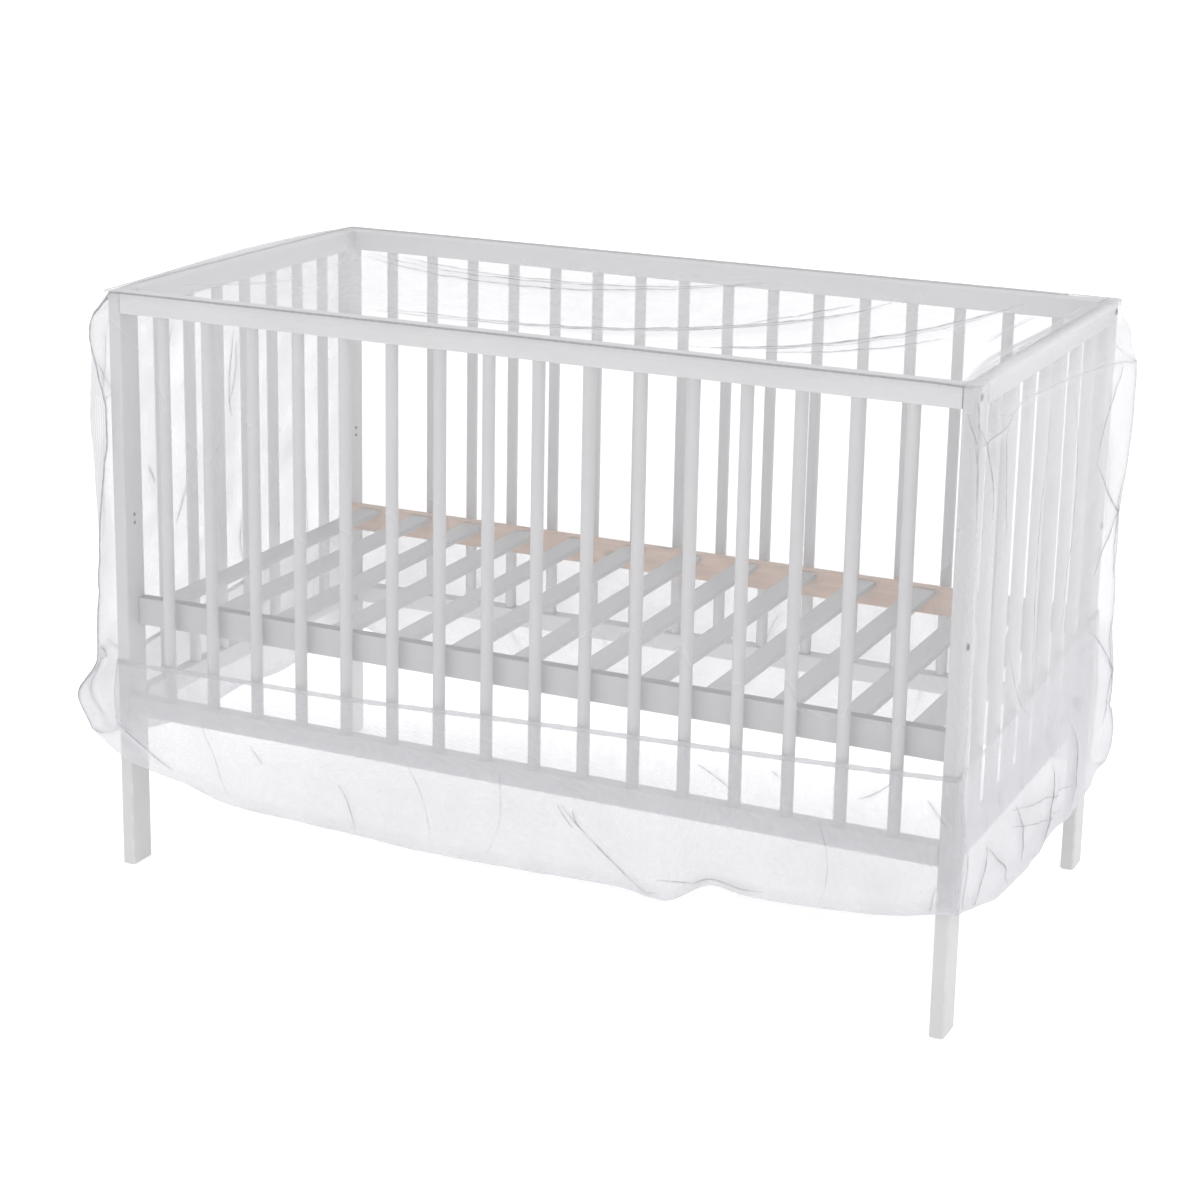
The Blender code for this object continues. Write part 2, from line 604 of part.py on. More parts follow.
def surface_normals(points, quads):
    """Outward unit normals at the points, from the diagonals of the quads round each."""
    cross = np.cross(points[quads[:, 2]] - points[quads[:, 0]], points[quads[:, 3]] - points[quads[:, 1]])
    cross /= np.linalg.norm(cross, axis=1)[:, None]
    total = np.zeros_like(points)
    for corner in range(4):
        np.add.at(total, quads[:, corner], cross)
    return total / np.linalg.norm(total, axis=1)[:, None]


def draw_in(points, normals, quads, shared):
    """Moves a panel's sewn edge back across the cloth by half the seam's gap.

    Each stretch of the edge gives its own direction, square to it in the cloth. A corner takes the sum
    of its two, so it moves back from both.
    """
    corners = points[quads]
    middle = corners.mean(axis=1)
    pull = np.zeros_like(points)
    weight = np.zeros(len(points))
    used = {}
    for number, quad in enumerate(quads.tolist()):
        for k in range(4):
            used[(quad[k], quad[(k + 1) % 4])] = number
    edges = [(a, b, n) for (a, b), n in used.items() if (b, a) not in used and shared[a] and shared[b]]
    for a, b, number in edges:
        along = points[b] - points[a]
        along /= np.linalg.norm(along)
        across = np.cross(normals[a] + normals[b], along)
        across /= np.linalg.norm(across)
        if np.dot(across, middle[number] - points[a]) < 0:
            across = -across
        for end in (a, b):
            pull[end] += across
            weight[end] += 1
    size = np.linalg.norm(pull, axis=1)
    sewn = size > 0
    unit = pull[sewn] / size[sewn][:, None]
    reach = weight[sewn] / size[sewn]
    moved = points.copy()
    moved[sewn] += unit * (reach * SEAM_GAP / 2)[:, None]
    return moved


def sheet_mesh(points, normals, quads, thickness):
    """A closed sheet: two skins half the thickness to each side, and a rim where the quads end."""
    used = np.unique(quads)
    place_of = np.full(len(points), -1)
    place_of[used] = np.arange(len(used))
    local = place_of[quads]
    outer = points[used] + normals[used] * thickness / 2
    inner = points[used] - normals[used] * thickness / 2
    count = len(used)
    verts = np.concatenate((outer, inner))
    faces = [(q[0], q[1], q[2]) for q in local] + [(q[0], q[2], q[3]) for q in local]
    faces += [(q[2] + count, q[1] + count, q[0] + count) for q in local]
    faces += [(q[3] + count, q[2] + count, q[0] + count) for q in local]
    edges = {}
    for q in local:
        for k in range(4):
            edges[(q[k], q[(k + 1) % 4])] = True
    for a, b in edges:
        if (b, a) not in edges:
            faces.append((b, a, a + count))
            faces.append((b, a + count, b + count))
    mesh = bpy.data.meshes.new("cloth")
    mesh.from_pydata(verts.tolist(), [], [tuple(int(v) for v in face) for face in faces])
    mesh.update()
    return mesh


def build_net(material):
    points, quads, owner = net_surface()
    normals = surface_normals(points, quads)
    for name in ("net_top", "net_front", "net_right", "net_back", "net_left"):
        own = quads[owner == name]
        others = quads[owner != name]
        shared = np.zeros(len(points), bool)
        shared[np.intersect1d(own, others)] = True
        drawn = draw_in(points, normals, own, shared)
        item = place(name, sheet_mesh(drawn, normals, own, CLOTH), material)
        item.data.shade_smooth()


def build_elastic(material):
    """The band that closes the net's mouth round the crib, above the turned-back cloth."""
    grip = loop_station("grip_z")
    count = len(grip)
    section = ((-1, 1), (1, 1), (1, -1), (-1, -1))
    verts = np.concatenate([
        level_ring(BAND_OUT + across * BAND_THICK / 2, grip + up * BAND_HIGH / 2, POST_ROUND)
        for across, up in section])
    faces = []
    for k in range(4):
        for column in range(count):
            following = (column + 1) % count
            upper = k * count
            lower = (k + 1) % 4 * count
            faces.append((upper + column, lower + column, lower + following, upper + following))
    mesh = bpy.data.meshes.new("band")
    mesh.from_pydata(verts.tolist(), [], faces)
    mesh.update()
    place("net_elastic", mesh, material)


def stand_on_origin():
    """Moves the part so that the origin is under the middle of its outline."""
    bpy.context.view_layer.update()
    shown = [item for item in bpy.data.objects if not item.hide_render]
    corners = np.array([item.matrix_world @ vert.co for item in shown for vert in item.data.vertices])
    middle = (corners.min(axis=0) + corners.max(axis=0)) / 2
    for item in bpy.data.objects:
        item.location.x -= middle[0]
        item.location.y -= middle[1]


def main():
    for item in list(bpy.data.objects):
        bpy.data.objects.remove(item)
    paint = make_material("painted_wood", (0.80, 0.80, 0.81), 0.45)
    pine = make_material("bare_pine", (0.72, 0.58, 0.47), 0.60)
    steel = make_material("bolt_steel", (0.12, 0.12, 0.13), 0.40)
    mesh_cloth = make_material("net_mesh", (0.90, 0.90, 0.93), 0.80, 0.35)
    band = make_material("elastic", (0.86, 0.86, 0.90), 0.75)
    build_posts(paint)
    build_side_rails(paint)
    build_side_slats(paint)
    build_ends(paint)
    build_base(paint, pine)
    build_bolts(steel)
    build_net(mesh_cloth)
    build_elastic(band)
    stand_on_origin()


main()
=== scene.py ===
from collections import namedtuple
from math import cos, pi, radians, sin, sqrt

import bpy
import numpy as np
from mathutils import Matrix, Vector


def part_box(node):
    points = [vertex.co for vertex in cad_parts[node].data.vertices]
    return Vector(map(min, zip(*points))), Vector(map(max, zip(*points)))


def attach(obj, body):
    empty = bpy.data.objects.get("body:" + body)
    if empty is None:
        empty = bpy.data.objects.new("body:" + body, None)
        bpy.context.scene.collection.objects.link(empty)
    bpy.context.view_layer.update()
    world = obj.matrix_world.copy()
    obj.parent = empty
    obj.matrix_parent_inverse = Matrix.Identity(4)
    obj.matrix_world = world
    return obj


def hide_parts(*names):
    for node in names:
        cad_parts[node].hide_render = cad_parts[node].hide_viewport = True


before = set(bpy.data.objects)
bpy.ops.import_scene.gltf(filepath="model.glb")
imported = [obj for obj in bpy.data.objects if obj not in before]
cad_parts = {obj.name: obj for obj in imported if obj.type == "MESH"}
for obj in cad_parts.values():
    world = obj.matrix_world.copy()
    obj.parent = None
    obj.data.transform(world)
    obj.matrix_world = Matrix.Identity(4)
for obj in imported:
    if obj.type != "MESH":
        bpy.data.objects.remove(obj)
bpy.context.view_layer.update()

bl_info = {
    "name": "Crib With Mosquito Net",
    "version": (1, 0, 0),
    "blender": (4, 5, 0),
    "location": "View3D > Sidebar > Crib Net",
    "description": "Dresses a slatted crib and the sheer net drawn over it, and sets up its studio",
    "category": "Object",
}

# The crib's own middle and size, taken from its posts
FIRST_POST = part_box("post_front_left")
LAST_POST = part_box("post_back_right")
MIDDLE = ((FIRST_POST[0][0] + LAST_POST[1][0]) / 2, (FIRST_POST[0][1] + LAST_POST[1][1]) / 2)
HALF_LENGTH = (LAST_POST[1][0] - FIRST_POST[0][0]) / 2
HALF_WIDTH = (LAST_POST[1][1] - FIRST_POST[0][1]) / 2
HEIGHT = LAST_POST[1][2]

# Wood
RAIL_HIGH = 0.030
LOW_RAIL_TOP = 0.257
SLAT_DIAMETER = 0.017
SIDE_SLATS = 16
END_SLATS = 7
END_SLAT_PITCH = 0.074
LEDGER_THICK = 0.018
CROSS_SLATS = 13
CROSS_SLAT_PITCH = 0.0933
CROSS_SLAT_WIDE = 0.034
CROSS_SLAT_THICK = 0.009
CROSS_SLAT_DROP = 0.002
JOINT_GAP = 0.0003
# Painted shade: the base's ledger, its top face and its cross slats get darker paint, as if lying in shade
# inside the crib
LEDGER_PAINTED_SHADE = 0.94
LEDGER_TOP_PAINTED_SHADE = 0.45
CROSS_SLAT_PAINTED_SHADE = 0.72
# Painted light: the rails and end grilles get their paint scaled brighter than the posts and slats, as if
# more lit
RAIL_PAINTED_LIGHT = 1.13
END_ROUND = 0.0006
POST_END_ROUND = 0.0015
LEDGER_ROUND = 0.0016
LEDGER_END_ROUND = 0.0008
BACK_LEDGER_ROUND = 0.0012
CROSS_SLAT_ROUND = 0.0015
SLAT_INTO_RAIL = 0.001
BORE_Z = 0.520
BORE_PITCH = 0.012
BORE_RADIUS = 0.0026
BORE_PROUD = 0.0004
SHARP_ANGLE = radians(30.0)

# Net
RIM_INSIDE = 0.010
RIM_CLEAR = 0.0027
FACE_CLEAR = 0.0044
LEAST_OUT = FACE_CLEAR - 0.001
RETURN_OUT = 0.0042
RETURN_TOP_OUT = 0.0030
LEAST_RETURN_OUT = 0.0029
ROLL_OUT = -0.0040
BAND_OUT = 0.0024
BAND_HIGH = 0.0070
BAND_THICK = 0.0018
CORNER_ROUND = 0.0060
TURN_DEPTH = 0.010
SEAM_RISE = 0.0008
SAG = 0.024
SAG_INSET = 0.024
RETURN_SLACK = 0.0022
BAND_OVERLAP = 0.001
# Layers on the crest of the roll over each rail; through the net's painted shade of many layers they also
# darken the line along the rails' tops
EDGE_LAYERS = {"front": 2.0, "right": 1.5, "back": 5.0, "left": 2.0}
FOLD_LAYERS = 1.2
# Painted shade: at this many layers the cloth is painted fully in the seam colour
PAINTED_SHADE_LAYERS = 8.0
LEAST_FACING = 0.42
POUCH_DENSER = 1.5
POUCH_FADE = 0.050
LOOSE_DENSER = 1.2
LOOSE_FROM = 0.006
LOOSE_SPAN = 0.012
LINE_RADIUS = 0.0010
LINE_PLACES = 40
BROAD_CREASE = 0.040
TOP_DENSER = 0.7
LIFT_REACH = 0.200
POUCH_SHARE_AT_FOLD = 0.7
BELL_SHARE = 0.6
SEAM_ALLOWANCE = 0.0055
SEAM_RADIUS = 0.0012
CORNER_SEAM_LAYERS = 1.2
TOP_SEAM_LAYERS = 1.0
CASING_PALENESS = 0.45
PALE_RUN = 0.02
SHOULDER_Z = 0.790
CHEST_Z = 0.660
WAIST_Z = 0.480

# Small unevenness of the cloth: the lengths of its waves, of the lines where it is crumpled and of the
# gathers at the elastic, and what is added to a wall's seed for each
WALL_WAVES = (0.085, 0.040)
WALL_LINES = 0.150
LINE_HEIGHT = 0.0005
TOP_WAVES = (0.060, 0.024)
TOP_LINES = 0.160
GATHER_LENGTH = 0.020
GATHER_STRETCH = 0.22
GATHER_HEIGHT = 0.0007
SHORT_WAVE_SEED = 40
LINE_SEED = 80
GATHER_SEED = 120
TOP_SEEDS = (31, 32, 33)

# Layers of cloth in the pouch's inner side: how many at its turn, how many fewer at the elastic, and how
# many the gathers add there
RETURN_LAYERS = 1.7
LAYERS_LOST = 0.7
GATHER_LAYERS = 0.6

# Grids
ARC_COLUMNS = 4
COLUMNS_LONG = 340
COLUMNS_END = 180
WALL_ROWS = 118
TURN_ROWS = 8
RETURN_ROWS = 28
ROLL_ROWS = 5
OVERHANG_ROWS = 9

# One row for each place where a wall of the net changes, in millimetres. "along" is X on the front and
# the back and Y on the ends. The outs are how far the cloth stands off the crib's face at the shoulder,
# chest, waist, elastic and pouch. The heights are those of the top seam, the elastic and the pouch's fold.
Station = namedtuple("Station", "along shoulder chest waist grip pouch seam_z grip_z fold_z")


def metres(lengths):
    """Lengths in millimetres, as metres."""
    return [length / 1000 for length in lengths]


def stations(*rows):
    return [Station(*metres(row)) for row in rows]


FRONT = stations(
    (-620, 8, 9, 9, 11, 20, 805, 306, 198),
    (-608, 7.5, 8.5, 8.5, 10.8, 20.5, 839, 306.2, 190),
    (-557, 6, 7, 7, 10, 22, 839.8, 307, 161),
    (-473, 5.5, 6, 6.5, 9.5, 21, 839.8, 309, 145),
    (-402, 5.5, 6.5, 7, 9.5, 24, 839.8, 310, 127),
    (-303, 5.5, 6, 6.5, 9.5, 22, 839.8, 311, 123),
    (-221, 5.5, 6, 7, 9.5, 26, 839.8, 313, 122),
    (-104, 5.5, 6.5, 7, 9.5, 22, 839.8, 318, 116),
    (26, 5.5, 6, 6.5, 9.5, 25, 839.8, 324, 119),
    (187, 5.5, 6.5, 7, 9.5, 28, 839.8, 330, 124),
    (238, 5.5, 6, 7, 9.5, 32, 839.8, 332, 118),
    (304, 5.5, 6, 6.5, 9.5, 20, 839.8, 334, 150),
    (355, 5.5, 6.5, 7, 9.5, 23, 839.8, 336, 145),
    (476, 5.5, 6.5, 6.5, 9.5, 22, 839.8, 341, 151),
    (547, 6, 7, 7, 10, 24, 839.8, 344, 160),
    (620, 5.2, 8, 9, 12, 22, 838, 347, 175),
)
RIGHT = stations(
    (-330, 5.6, 10, 11, 12, 22, 838, 347, 175),
    (-296, 7, 10.5, 11, 12, 25, 837.5, 348.5, 168),
    (-276, 12, 11, 11, 12, 27, 799, 349.5, 164),
    (-250, 17, 11, 11, 12, 30, 791, 351, 158),
    (-167, 12, 14, 12, 12, 28, 794, 355, 136),
    (-60, 16, 13, 11, 12, 36, 791, 361, 134),
    (50, 15, 17, 14, 12, 33, 783, 367, 140),
    (147, 21, 18, 15, 12.5, 37, 776, 374, 134),
    (253, 26, 24, 18, 15, 32, 766, 380, 136),
    (330, 30, 28, 20, 21, 25, 754, 384, 152),
)
BACK = stations(
    (-620, 8, 9, 9, 12, 20, 839.6, 370, 176),
    (-520, 6, 7, 7, 10, 24, 839.8, 370, 154),
    (-340, 5.5, 6, 6.5, 9.5, 21, 839.8, 371, 142),
    (-160, 5.5, 6.5, 7, 9.5, 26, 839.8, 372, 134),
    (20, 5.5, 6, 6.5, 9.5, 22, 839.8, 374, 146),
    (210, 5.5, 6.5, 7, 9.5, 27, 839.8, 377, 140),
    (390, 6, 7, 7.5, 9.5, 23, 839.8, 380, 152),
    (540, 8, 9, 9, 10.5, 26, 839, 382, 146),
    (620, 13, 14, 12, 12, 15, 754, 384, 152),
)
LEFT = stations(
    (-330, 26, 5, 21, 31, 56, 805, 306, 198),
    (-314, 28, 35, 30, 32, 55, 826, 307.5, 195),
    (-285, 26, 35, 33, 31, 53, 837.5, 309.5, 190),
    (-230, 21, 27, 30, 26, 48, 839, 316, 174),
    (-120, 25, 30, 24, 20, 42, 839.8, 326, 160),
    (0, 17, 22, 24, 17, 36, 839.8, 337, 166),
    (120, 19, 23, 18, 15, 38, 839.8, 349, 156),
    (240, 14, 17, 17, 13, 31, 839.8, 362, 168),
    (330, 13, 15, 14, 13, 29, 839.6, 370, 176),
)

# Creases of the cloth, in millimetres. Each bows through three places, given along the wall and in height,
# or in X and Y on the top. "out" is how far it stands out, and "layers" how much cloth it doubles up, in
# steps of FOLD_LAYERS. One as wide as BROAD_CREASE is gathered cloth with no sharp line.
Crease = namedtuple("Crease", "start middle end half_width out layers")


def creases(*rows):
    return [Crease(*map(metres, row[:3]), *metres(row[3:5]), row[5]) for row in rows]


FRONT_CREASES = creases(
    ((-555, 240), (-515, 205), (-470, 165), 30, 6, 0),
    ((-561, 226), (-525, 195), (-484, 166), 5.5, 3, 1.1),
    ((100, 250), (160, 200), (235, 140), 30, 12, 0),
    ((107, 231), (170, 173), (233, 117), 6, 2.5, 0.9),
    ((240, 180), (310, 180), (380, 170), 25, -5, 0),
    ((236, 150), (304, 153), (372, 157), 8, 2, 0.8),
    ((520, 260), (560, 230), (600, 200), 30, 5, 0),
    ((-222, 196), (-208, 170), (-198, 130), 6, 3, 0.8),
    ((-353, 228), (-345, 215), (-338, 202), 5, 2, 0.6),
    ((-420, 250), (-410, 190), (-395, 140), 14, 3, 0.25),
    ((-120, 255), (-95, 190), (-90, 128), 15, 3.5, 0.25),
    ((20, 260), (15, 190), (-10, 130), 16, 3.5, 0.2),
    ((101, 231), (110, 215), (119, 201), 4.5, 2, 0.8),
    ((124, 228), (128, 216), (133, 205), 4.5, 2, 0.8),
    ((440, 270), (455, 210), (445, 160), 14, 3, 0.3),
    ((380, 225), (500, 215), (610, 215), 45, 0, 0.6),
    ((276, 313), (300, 302), (322, 288), 4.5, 1.5, 0.9),
    ((376, 321), (383, 317), (392, 312), 4, 1, 0.7),
    ((487, 306), (508, 316), (530, 333), 4.5, 1.5, 0.9),
    ((574, 320), (585, 308), (598, 291), 4.5, 1.5, 1),
    ((591, 214), (586, 180), (583, 146), 6, 2, 0.7),
    ((614, 772), (623, 729), (629, 680), 6, 3, 1.6),
    ((617, 822), (622, 798), (626, 776), 5, 2.5, 1.2),
    ((606, 806), (614, 780), (632, 752), 5, 2.5, 0.9),
    ((-600, 700), (-612, 692), (-624, 690), 6, 1.5, 0.8),
)
RIGHT_CREASES = creases(
    ((333, 838), (333, 800), (333, 762), 40, -11, 0),
    ((333, 242), (333, 196), (333, 148), 34, 13, 0),
    ((-300, 240), (-50, 205), (260, 190), 50, 0, 0.9),
    ((-200, 300), (-196, 230), (-190, 160), 24, 7, 0),
    ((10, 320), (4, 230), (0, 150), 26, 8, 0),
    ((130, 310), (136, 230), (140, 150), 26, 7, 0),
    ((-270, 760), (-250, 660), (-230, 560), 28, 8, 0),
    ((300, 700), (270, 560), (240, 430), 32, 7, 0),
    ((210, 420), (260, 340), (310, 270), 30, 6, 0),
    ((-147, 260), (-120, 210), (-97, 160), 5.5, 3.5, 1.1),
    ((-12, 270), (-13, 194), (-9, 128), 5.5, 3.5, 1.1),
    ((94, 290), (111, 217), (119, 160), 5.5, 3.5, 1.1),
    ((-268, 248), (-208, 204), (-144, 149), 6, 3, 1),
    ((-268, 250), (-273, 204), (-286, 159), 6, 3, 1),
    ((-322, 262), (-322, 214), (-320, 170), 5, 2, 0.9),
    ((-160, 258), (-16, 226), (130, 192), 8, 1.5, 0.5),
    ((-160, 236), (-33, 197), (95, 166), 8, 1.5, 0.5),
    ((262, 762), (200, 700), (171, 637), 5.5, 3, 1.1),
    ((171, 637), (258, 555), (311, 440), 5.5, 3, 1.1),
    ((275, 590), (248, 526), (205, 465), 5.5, 3, 1.1),
    ((215, 385), (285, 314), (322, 215), 5.5, 3, 1),
    ((322, 380), (284, 304), (259, 235), 5.5, 3, 1),
    ((-330, 790), (-300, 745), (-280, 670), 7, 3, 1.3),
    ((-330, 770), (-290, 772), (-235, 788), 6, 2, 0.8),
    ((-250, 778), (-262, 720), (-240, 640), 6, 2.5, 0.7),
    ((-60, 770), (-75, 560), (-50, 380), 10, 3, 0.3),
    ((50, 765), (75, 600), (60, 420), 10, 3, 0.3),
    ((-180, 480), (-130, 400), (-60, 350), 12, 3, 0.3),
)
BACK_CREASES = creases(
    ((-400, 300), (-350, 230), (-300, 170), 32, 6, 0),
    ((120, 310), (90, 240), (60, 170), 32, 7, 0),
    ((460, 300), (490, 240), (520, 180), 30, 6, 0),
    ((-395, 290), (-350, 225), (-305, 170), 6, 2.5, 0.7),
    ((-150, 300), (-170, 230), (-165, 160), 6, 2.5, 0.6),
    ((118, 305), (90, 240), (65, 165), 6, 2.5, 0.7),
    ((300, 310), (330, 240), (325, 175), 6, 2.5, 0.6),
    ((560, 700), (590, 620), (600, 500), 8, 3, 0.8),
)
LEFT_CREASES = creases(
    ((-290, 780), (-280, 600), (-270, 420), 28, 6, 0),
    ((-120, 760), (-145, 600), (-170, 450), 30, 8, 0),
    ((60, 750), (40, 580), (20, 420), 32, 7, 0),
    ((-80, 420), (-35, 320), (10, 220), 32, 8, 0),
    ((200, 740), (210, 520), (220, 300), 30, 6, 0),
    ((-333, 710), (-331, 655), (-333, 600), 16, -5, 0),
    ((-302, 790), (-300, 700), (-302, 540), 30, 5, 0),
    ((-285, 790), (-275, 640), (-300, 480), 6, 2.5, 0.8),
    ((-310, 740), (-265, 690), (-250, 600), 6, 2.5, 0.9),
    ((-125, 760), (-150, 600), (-168, 450), 6, 2.5, 0.6),
    ((-92, 525), (-116, 491), (-136, 460), 5, 2.5, 1),
    ((60, 455), (26, 400), (34, 350), 5, 2.5, 1),
    ((140, 546), (120, 534), (104, 520), 5, 2, 0.9),
    ((-196, 560), (-182, 544), (-176, 530), 5, 2, 0.9),
    ((17, 726), (8, 649), (17, 590), 4.5, 2, 0.9),
    ((22, 705), (28, 661), (10, 612), 4.5, 2, 0.9),
    ((-55, 430), (-35, 320), (5, 220), 6, 2.5, 0.7),
    ((180, 730), (215, 520), (205, 330), 6, 2.5, 0.6),
    ((-300, 330), (-240, 270), (-200, 185), 6, 3, 0.9),
    ((-318, 320), (-300, 260), (-290, 190), 6, 3, 1.1),
    ((-326, 440), (-327, 340), (-328, 255), 5, 0, 1.6),
    ((-330, 250), (-322, 280), (-304, 306), 5, 0, 2.2),
    ((-318, 322), (-306, 314), (-300, 300), 5, 0, 1.8),
)
TOP_CREASES = creases(
    ((-490, 165), (-170, 105), (130, 245), 27, 7, 0.8),
    ((-485, 143), (-165, 80), (125, 235), 5, 2, 0.7),
    ((-430, 165), (-240, 132), (-80, 150), 4.5, 1.5, 0.6),
    ((-250, -235), (80, -190), (310, 110), 24, 7, 0.6),
    ((-250, -200), (120, -135), (332, 195), 6.5, 3, 1.5),
    ((220, -270), (395, -100), (500, 200), 20, 6, 0.4),
    ((245, -250), (393, -66), (510, 235), 7.5, 3.5, 1.9),
    ((316, -243), (420, -130), (478, -20), 5.5, 2, 0.9),
    ((545, -50), (542, 50), (550, 150), 5.5, 1.5, 0.8),
    ((195, -5), (250, 92), (288, 165), 5.5, 1.5, 0.7),
    ((603, -322), (604, 0), (608, 322), 6, 1.5, 2.6),
    ((598, -318), (599, -120), (605, 80), 4.5, 1, 1.2),
    ((597, 60), (600, 180), (606, 318), 4.5, 1, 1.2),
    ((-560, -240), (-500, -160), (-470, -50), 8, 2, 0.5),
    ((-570, 220), (-500, 120), (-480, 20), 8, 2, 0.5),
)

# Where the top stands up off the end rails instead of lying on them, by Y
Lift = namedtuple("Lift", "along height")
LEFT_LIFT = (Lift(-0.33, 0.0), Lift(-0.18, 0.004), Lift(0.02, 0.009), Lift(0.20, 0.006), Lift(0.33, 0.0))
RIGHT_LIFT = (Lift(-0.33, 0.0), Lift(-0.22, 0.012), Lift(-0.02, 0.006), Lift(0.18, 0.003), Lift(0.33, 0.0))

# A wall of the net: the axis that it runs along, the side of the crib that it is on, its stations and
# creases, the number of its columns, and its own seed for the small unevenness.
Wall = namedtuple("Wall", "axis sign stations creases columns seed")
WALLS = {
    "front": Wall(0, -1, FRONT, FRONT_CREASES, COLUMNS_LONG, 11),
    "right": Wall(1, 1, RIGHT, RIGHT_CREASES, COLUMNS_END, 12),
    "back": Wall(0, 1, BACK, BACK_CREASES, COLUMNS_LONG, 13),
    "left": Wall(1, -1, LEFT, LEFT_CREASES, COLUMNS_END, 14),
}
# The walls that each wall meets at its low and its high end
NEIGHBOURS = {"front": ("left", "right"), "back": ("left", "right"), "right": ("front", "back"),
              "left": ("front", "back")}
HALF_SPAN = (HALF_LENGTH, HALF_WIDTH)

# A corner seam: the wall and the column that it follows, and how pale it is
CornerSeam = namedtuple("CornerSeam", "wall column paleness")
CORNER_SEAMS = (CornerSeam("front", 0, 0.1), CornerSeam("front", -1, 0.95), CornerSeam("back", 0, 0.4),
                CornerSeam("back", -1, 0.7))

# Studio
FLOOR_REACH = 40.0
FLOOR_Z = -0.001
KEY_SIZE = 3.0
KEY_PLACE = (3.8, -0.5, 3.2)
KEY_TARGET = (0.0, 0.0, 0.4)

# The camera that was fitted to the photo
CAMERA_PLACE = (1.48184, -3.25021, 1.48384)
CAMERA_YAW = -0.43351
CAMERA_PITCH = 0.248995
CAMERA_ROLL = 0.019021
FOCAL_PIXELS = 2613.88
FRAME_PIXELS = 1200.0
SENSOR_WIDTH = 36.0


# Settings that a user may change

LENGTH = {"subtype": "DISTANCE", "unit": "LENGTH"}
FACTOR = {"subtype": "FACTOR"}


def colour_setting(name, description, default):
    return bpy.props.FloatVectorProperty(name=name, description=description, default=default, size=3,
                                         min=0.0, max=1.0, subtype="COLOR")


def number_setting(name, description, default, low, high, kind):
    return bpy.props.FloatProperty(name=name, description=description, default=default, min=low, max=high,
                                   **kind)


class CribFinish(bpy.types.PropertyGroup):
    """Colours of the crib's wood and bolts."""
    paint: colour_setting("Paint", "Colour of the painted wood", (0.60, 0.60, 0.603))
    pine: colour_setting("Pine", "Colour of the bare wood of the back ledger", (0.60, 0.45, 0.36))
    steel: colour_setting("Bolts", "Colour of the bolt heads", (0.055, 0.055, 0.060))
    post_round: number_setting("Post rounding", "Radius of the posts' long edges", 0.0040, 0.0015, 0.008,
                               LENGTH)
    rail_round: number_setting("Rail rounding", "Radius of the rails' long edges", 0.0022, 0.0008, 0.006,
                               LENGTH)


class NetCloth(bpy.types.PropertyGroup):
    """The net's colour, weave and unevenness."""
    colour: colour_setting("Net", "Colour of the net's yarn", (0.795, 0.787, 0.822))
    # Painted shade: the colour of the dark lines drawn along the sharp creases
    fold: colour_setting("Creases", "Colour of the sharp creases", (0.40, 0.395, 0.43))
    # Besides the seams, many-layered net is painted towards this colour, as painted shade of its folds
    seam: colour_setting("Seams", "Colour of the seams and the elastic's casing", (0.43, 0.43, 0.45))
    pitch: number_setting("Mesh pitch", "Distance between the holes of the net", 0.0016, 0.0008, 0.004,
                          LENGTH)
    hole_cover: number_setting("Hole cover", "How much the net hides at a hole", 0.10, 0.0, 1.0, FACTOR)
    yarn_cover: number_setting("Yarn cover", "How much the net hides at a yarn", 0.24, 0.0, 1.0, FACTOR)
    crumple: number_setting("Crumple", "Height of the small waves in the cloth", 0.0006, 0.0, 0.003, LENGTH)


class StudioLook(bpy.types.PropertyGroup):
    """The floor and the light."""
    floor: colour_setting("Floor", "Colour of the floor", (0.97, 0.97, 0.97))
    surround: number_setting("Surround", "Strength of the even light from all round", 0.98, 0.0, 3.0, {})
    glow: number_setting("Floor glow", "Light of the floor's own, like a lit studio table", 0.37, 0.0, 3.0,
                         {})
    key: number_setting("Key light", "Power of the large soft lamp", 11.0, 0.0, 2000.0, {"unit": "POWER"})


# Nodes of the materials

def fill_inputs(tree, node, inputs):
    """Fills a node's inputs, given by name or number: sockets are linked and other values are set."""
    for label, value in inputs.items():
        if isinstance(value, bpy.types.NodeSocket):
            tree.links.new(value, node.inputs[label])
        else:
            node.inputs[label].default_value = value


def add_node(tree, kind, place, inputs=None, **values):
    """Adds a node and gives it. The functions below that add one node give its output socket."""
    node = tree.nodes.new(kind)
    node.location = place
    for name, value in values.items():
        setattr(node, name, value)
    fill_inputs(tree, node, inputs or {})
    return node


def calculate(tree, operation, first, second=None, place=(0, 0), clamp=False):
    """A Math node on sockets or plain numbers."""
    inputs = {0: first} if second is None else {0: first, 1: second}
    return add_node(tree, "ShaderNodeMath", place, inputs, operation=operation, use_clamp=clamp).outputs[0]


def object_places(tree, place):
    return add_node(tree, "ShaderNodeTexCoord", place).outputs["Object"]


def point_value(tree, name, place):
    """A point attribute of the mesh."""
    return add_node(tree, "ShaderNodeAttribute", place, attribute_name=name).outputs["Fac"]


def noise(tree, vector, place, scale, detail=2.0, distortion=0.0):
    inputs = {"Scale": scale, "Detail": detail, "Distortion": distortion, "Vector": vector}
    return add_node(tree, "ShaderNodeTexNoise", place, inputs).outputs["Fac"]


def spread(tree, value, place, source=(0.0, 1.0), target=(0.0, 1.0), kind="LINEAR"):
    """Carries a value from one range to another."""
    inputs = {"From Min": source[0], "From Max": source[1], "To Min": target[0], "To Max": target[1],
              "Value": value}
    return add_node(tree, "ShaderNodeMapRange", place, inputs, interpolation_type=kind).outputs["Result"]


def mix_colours(tree, factor, first, second, place):
    inputs = {"Factor": factor, 6: first, 7: second}
    return add_node(tree, "ShaderNodeMix", place, inputs, data_type="RGBA").outputs[2]


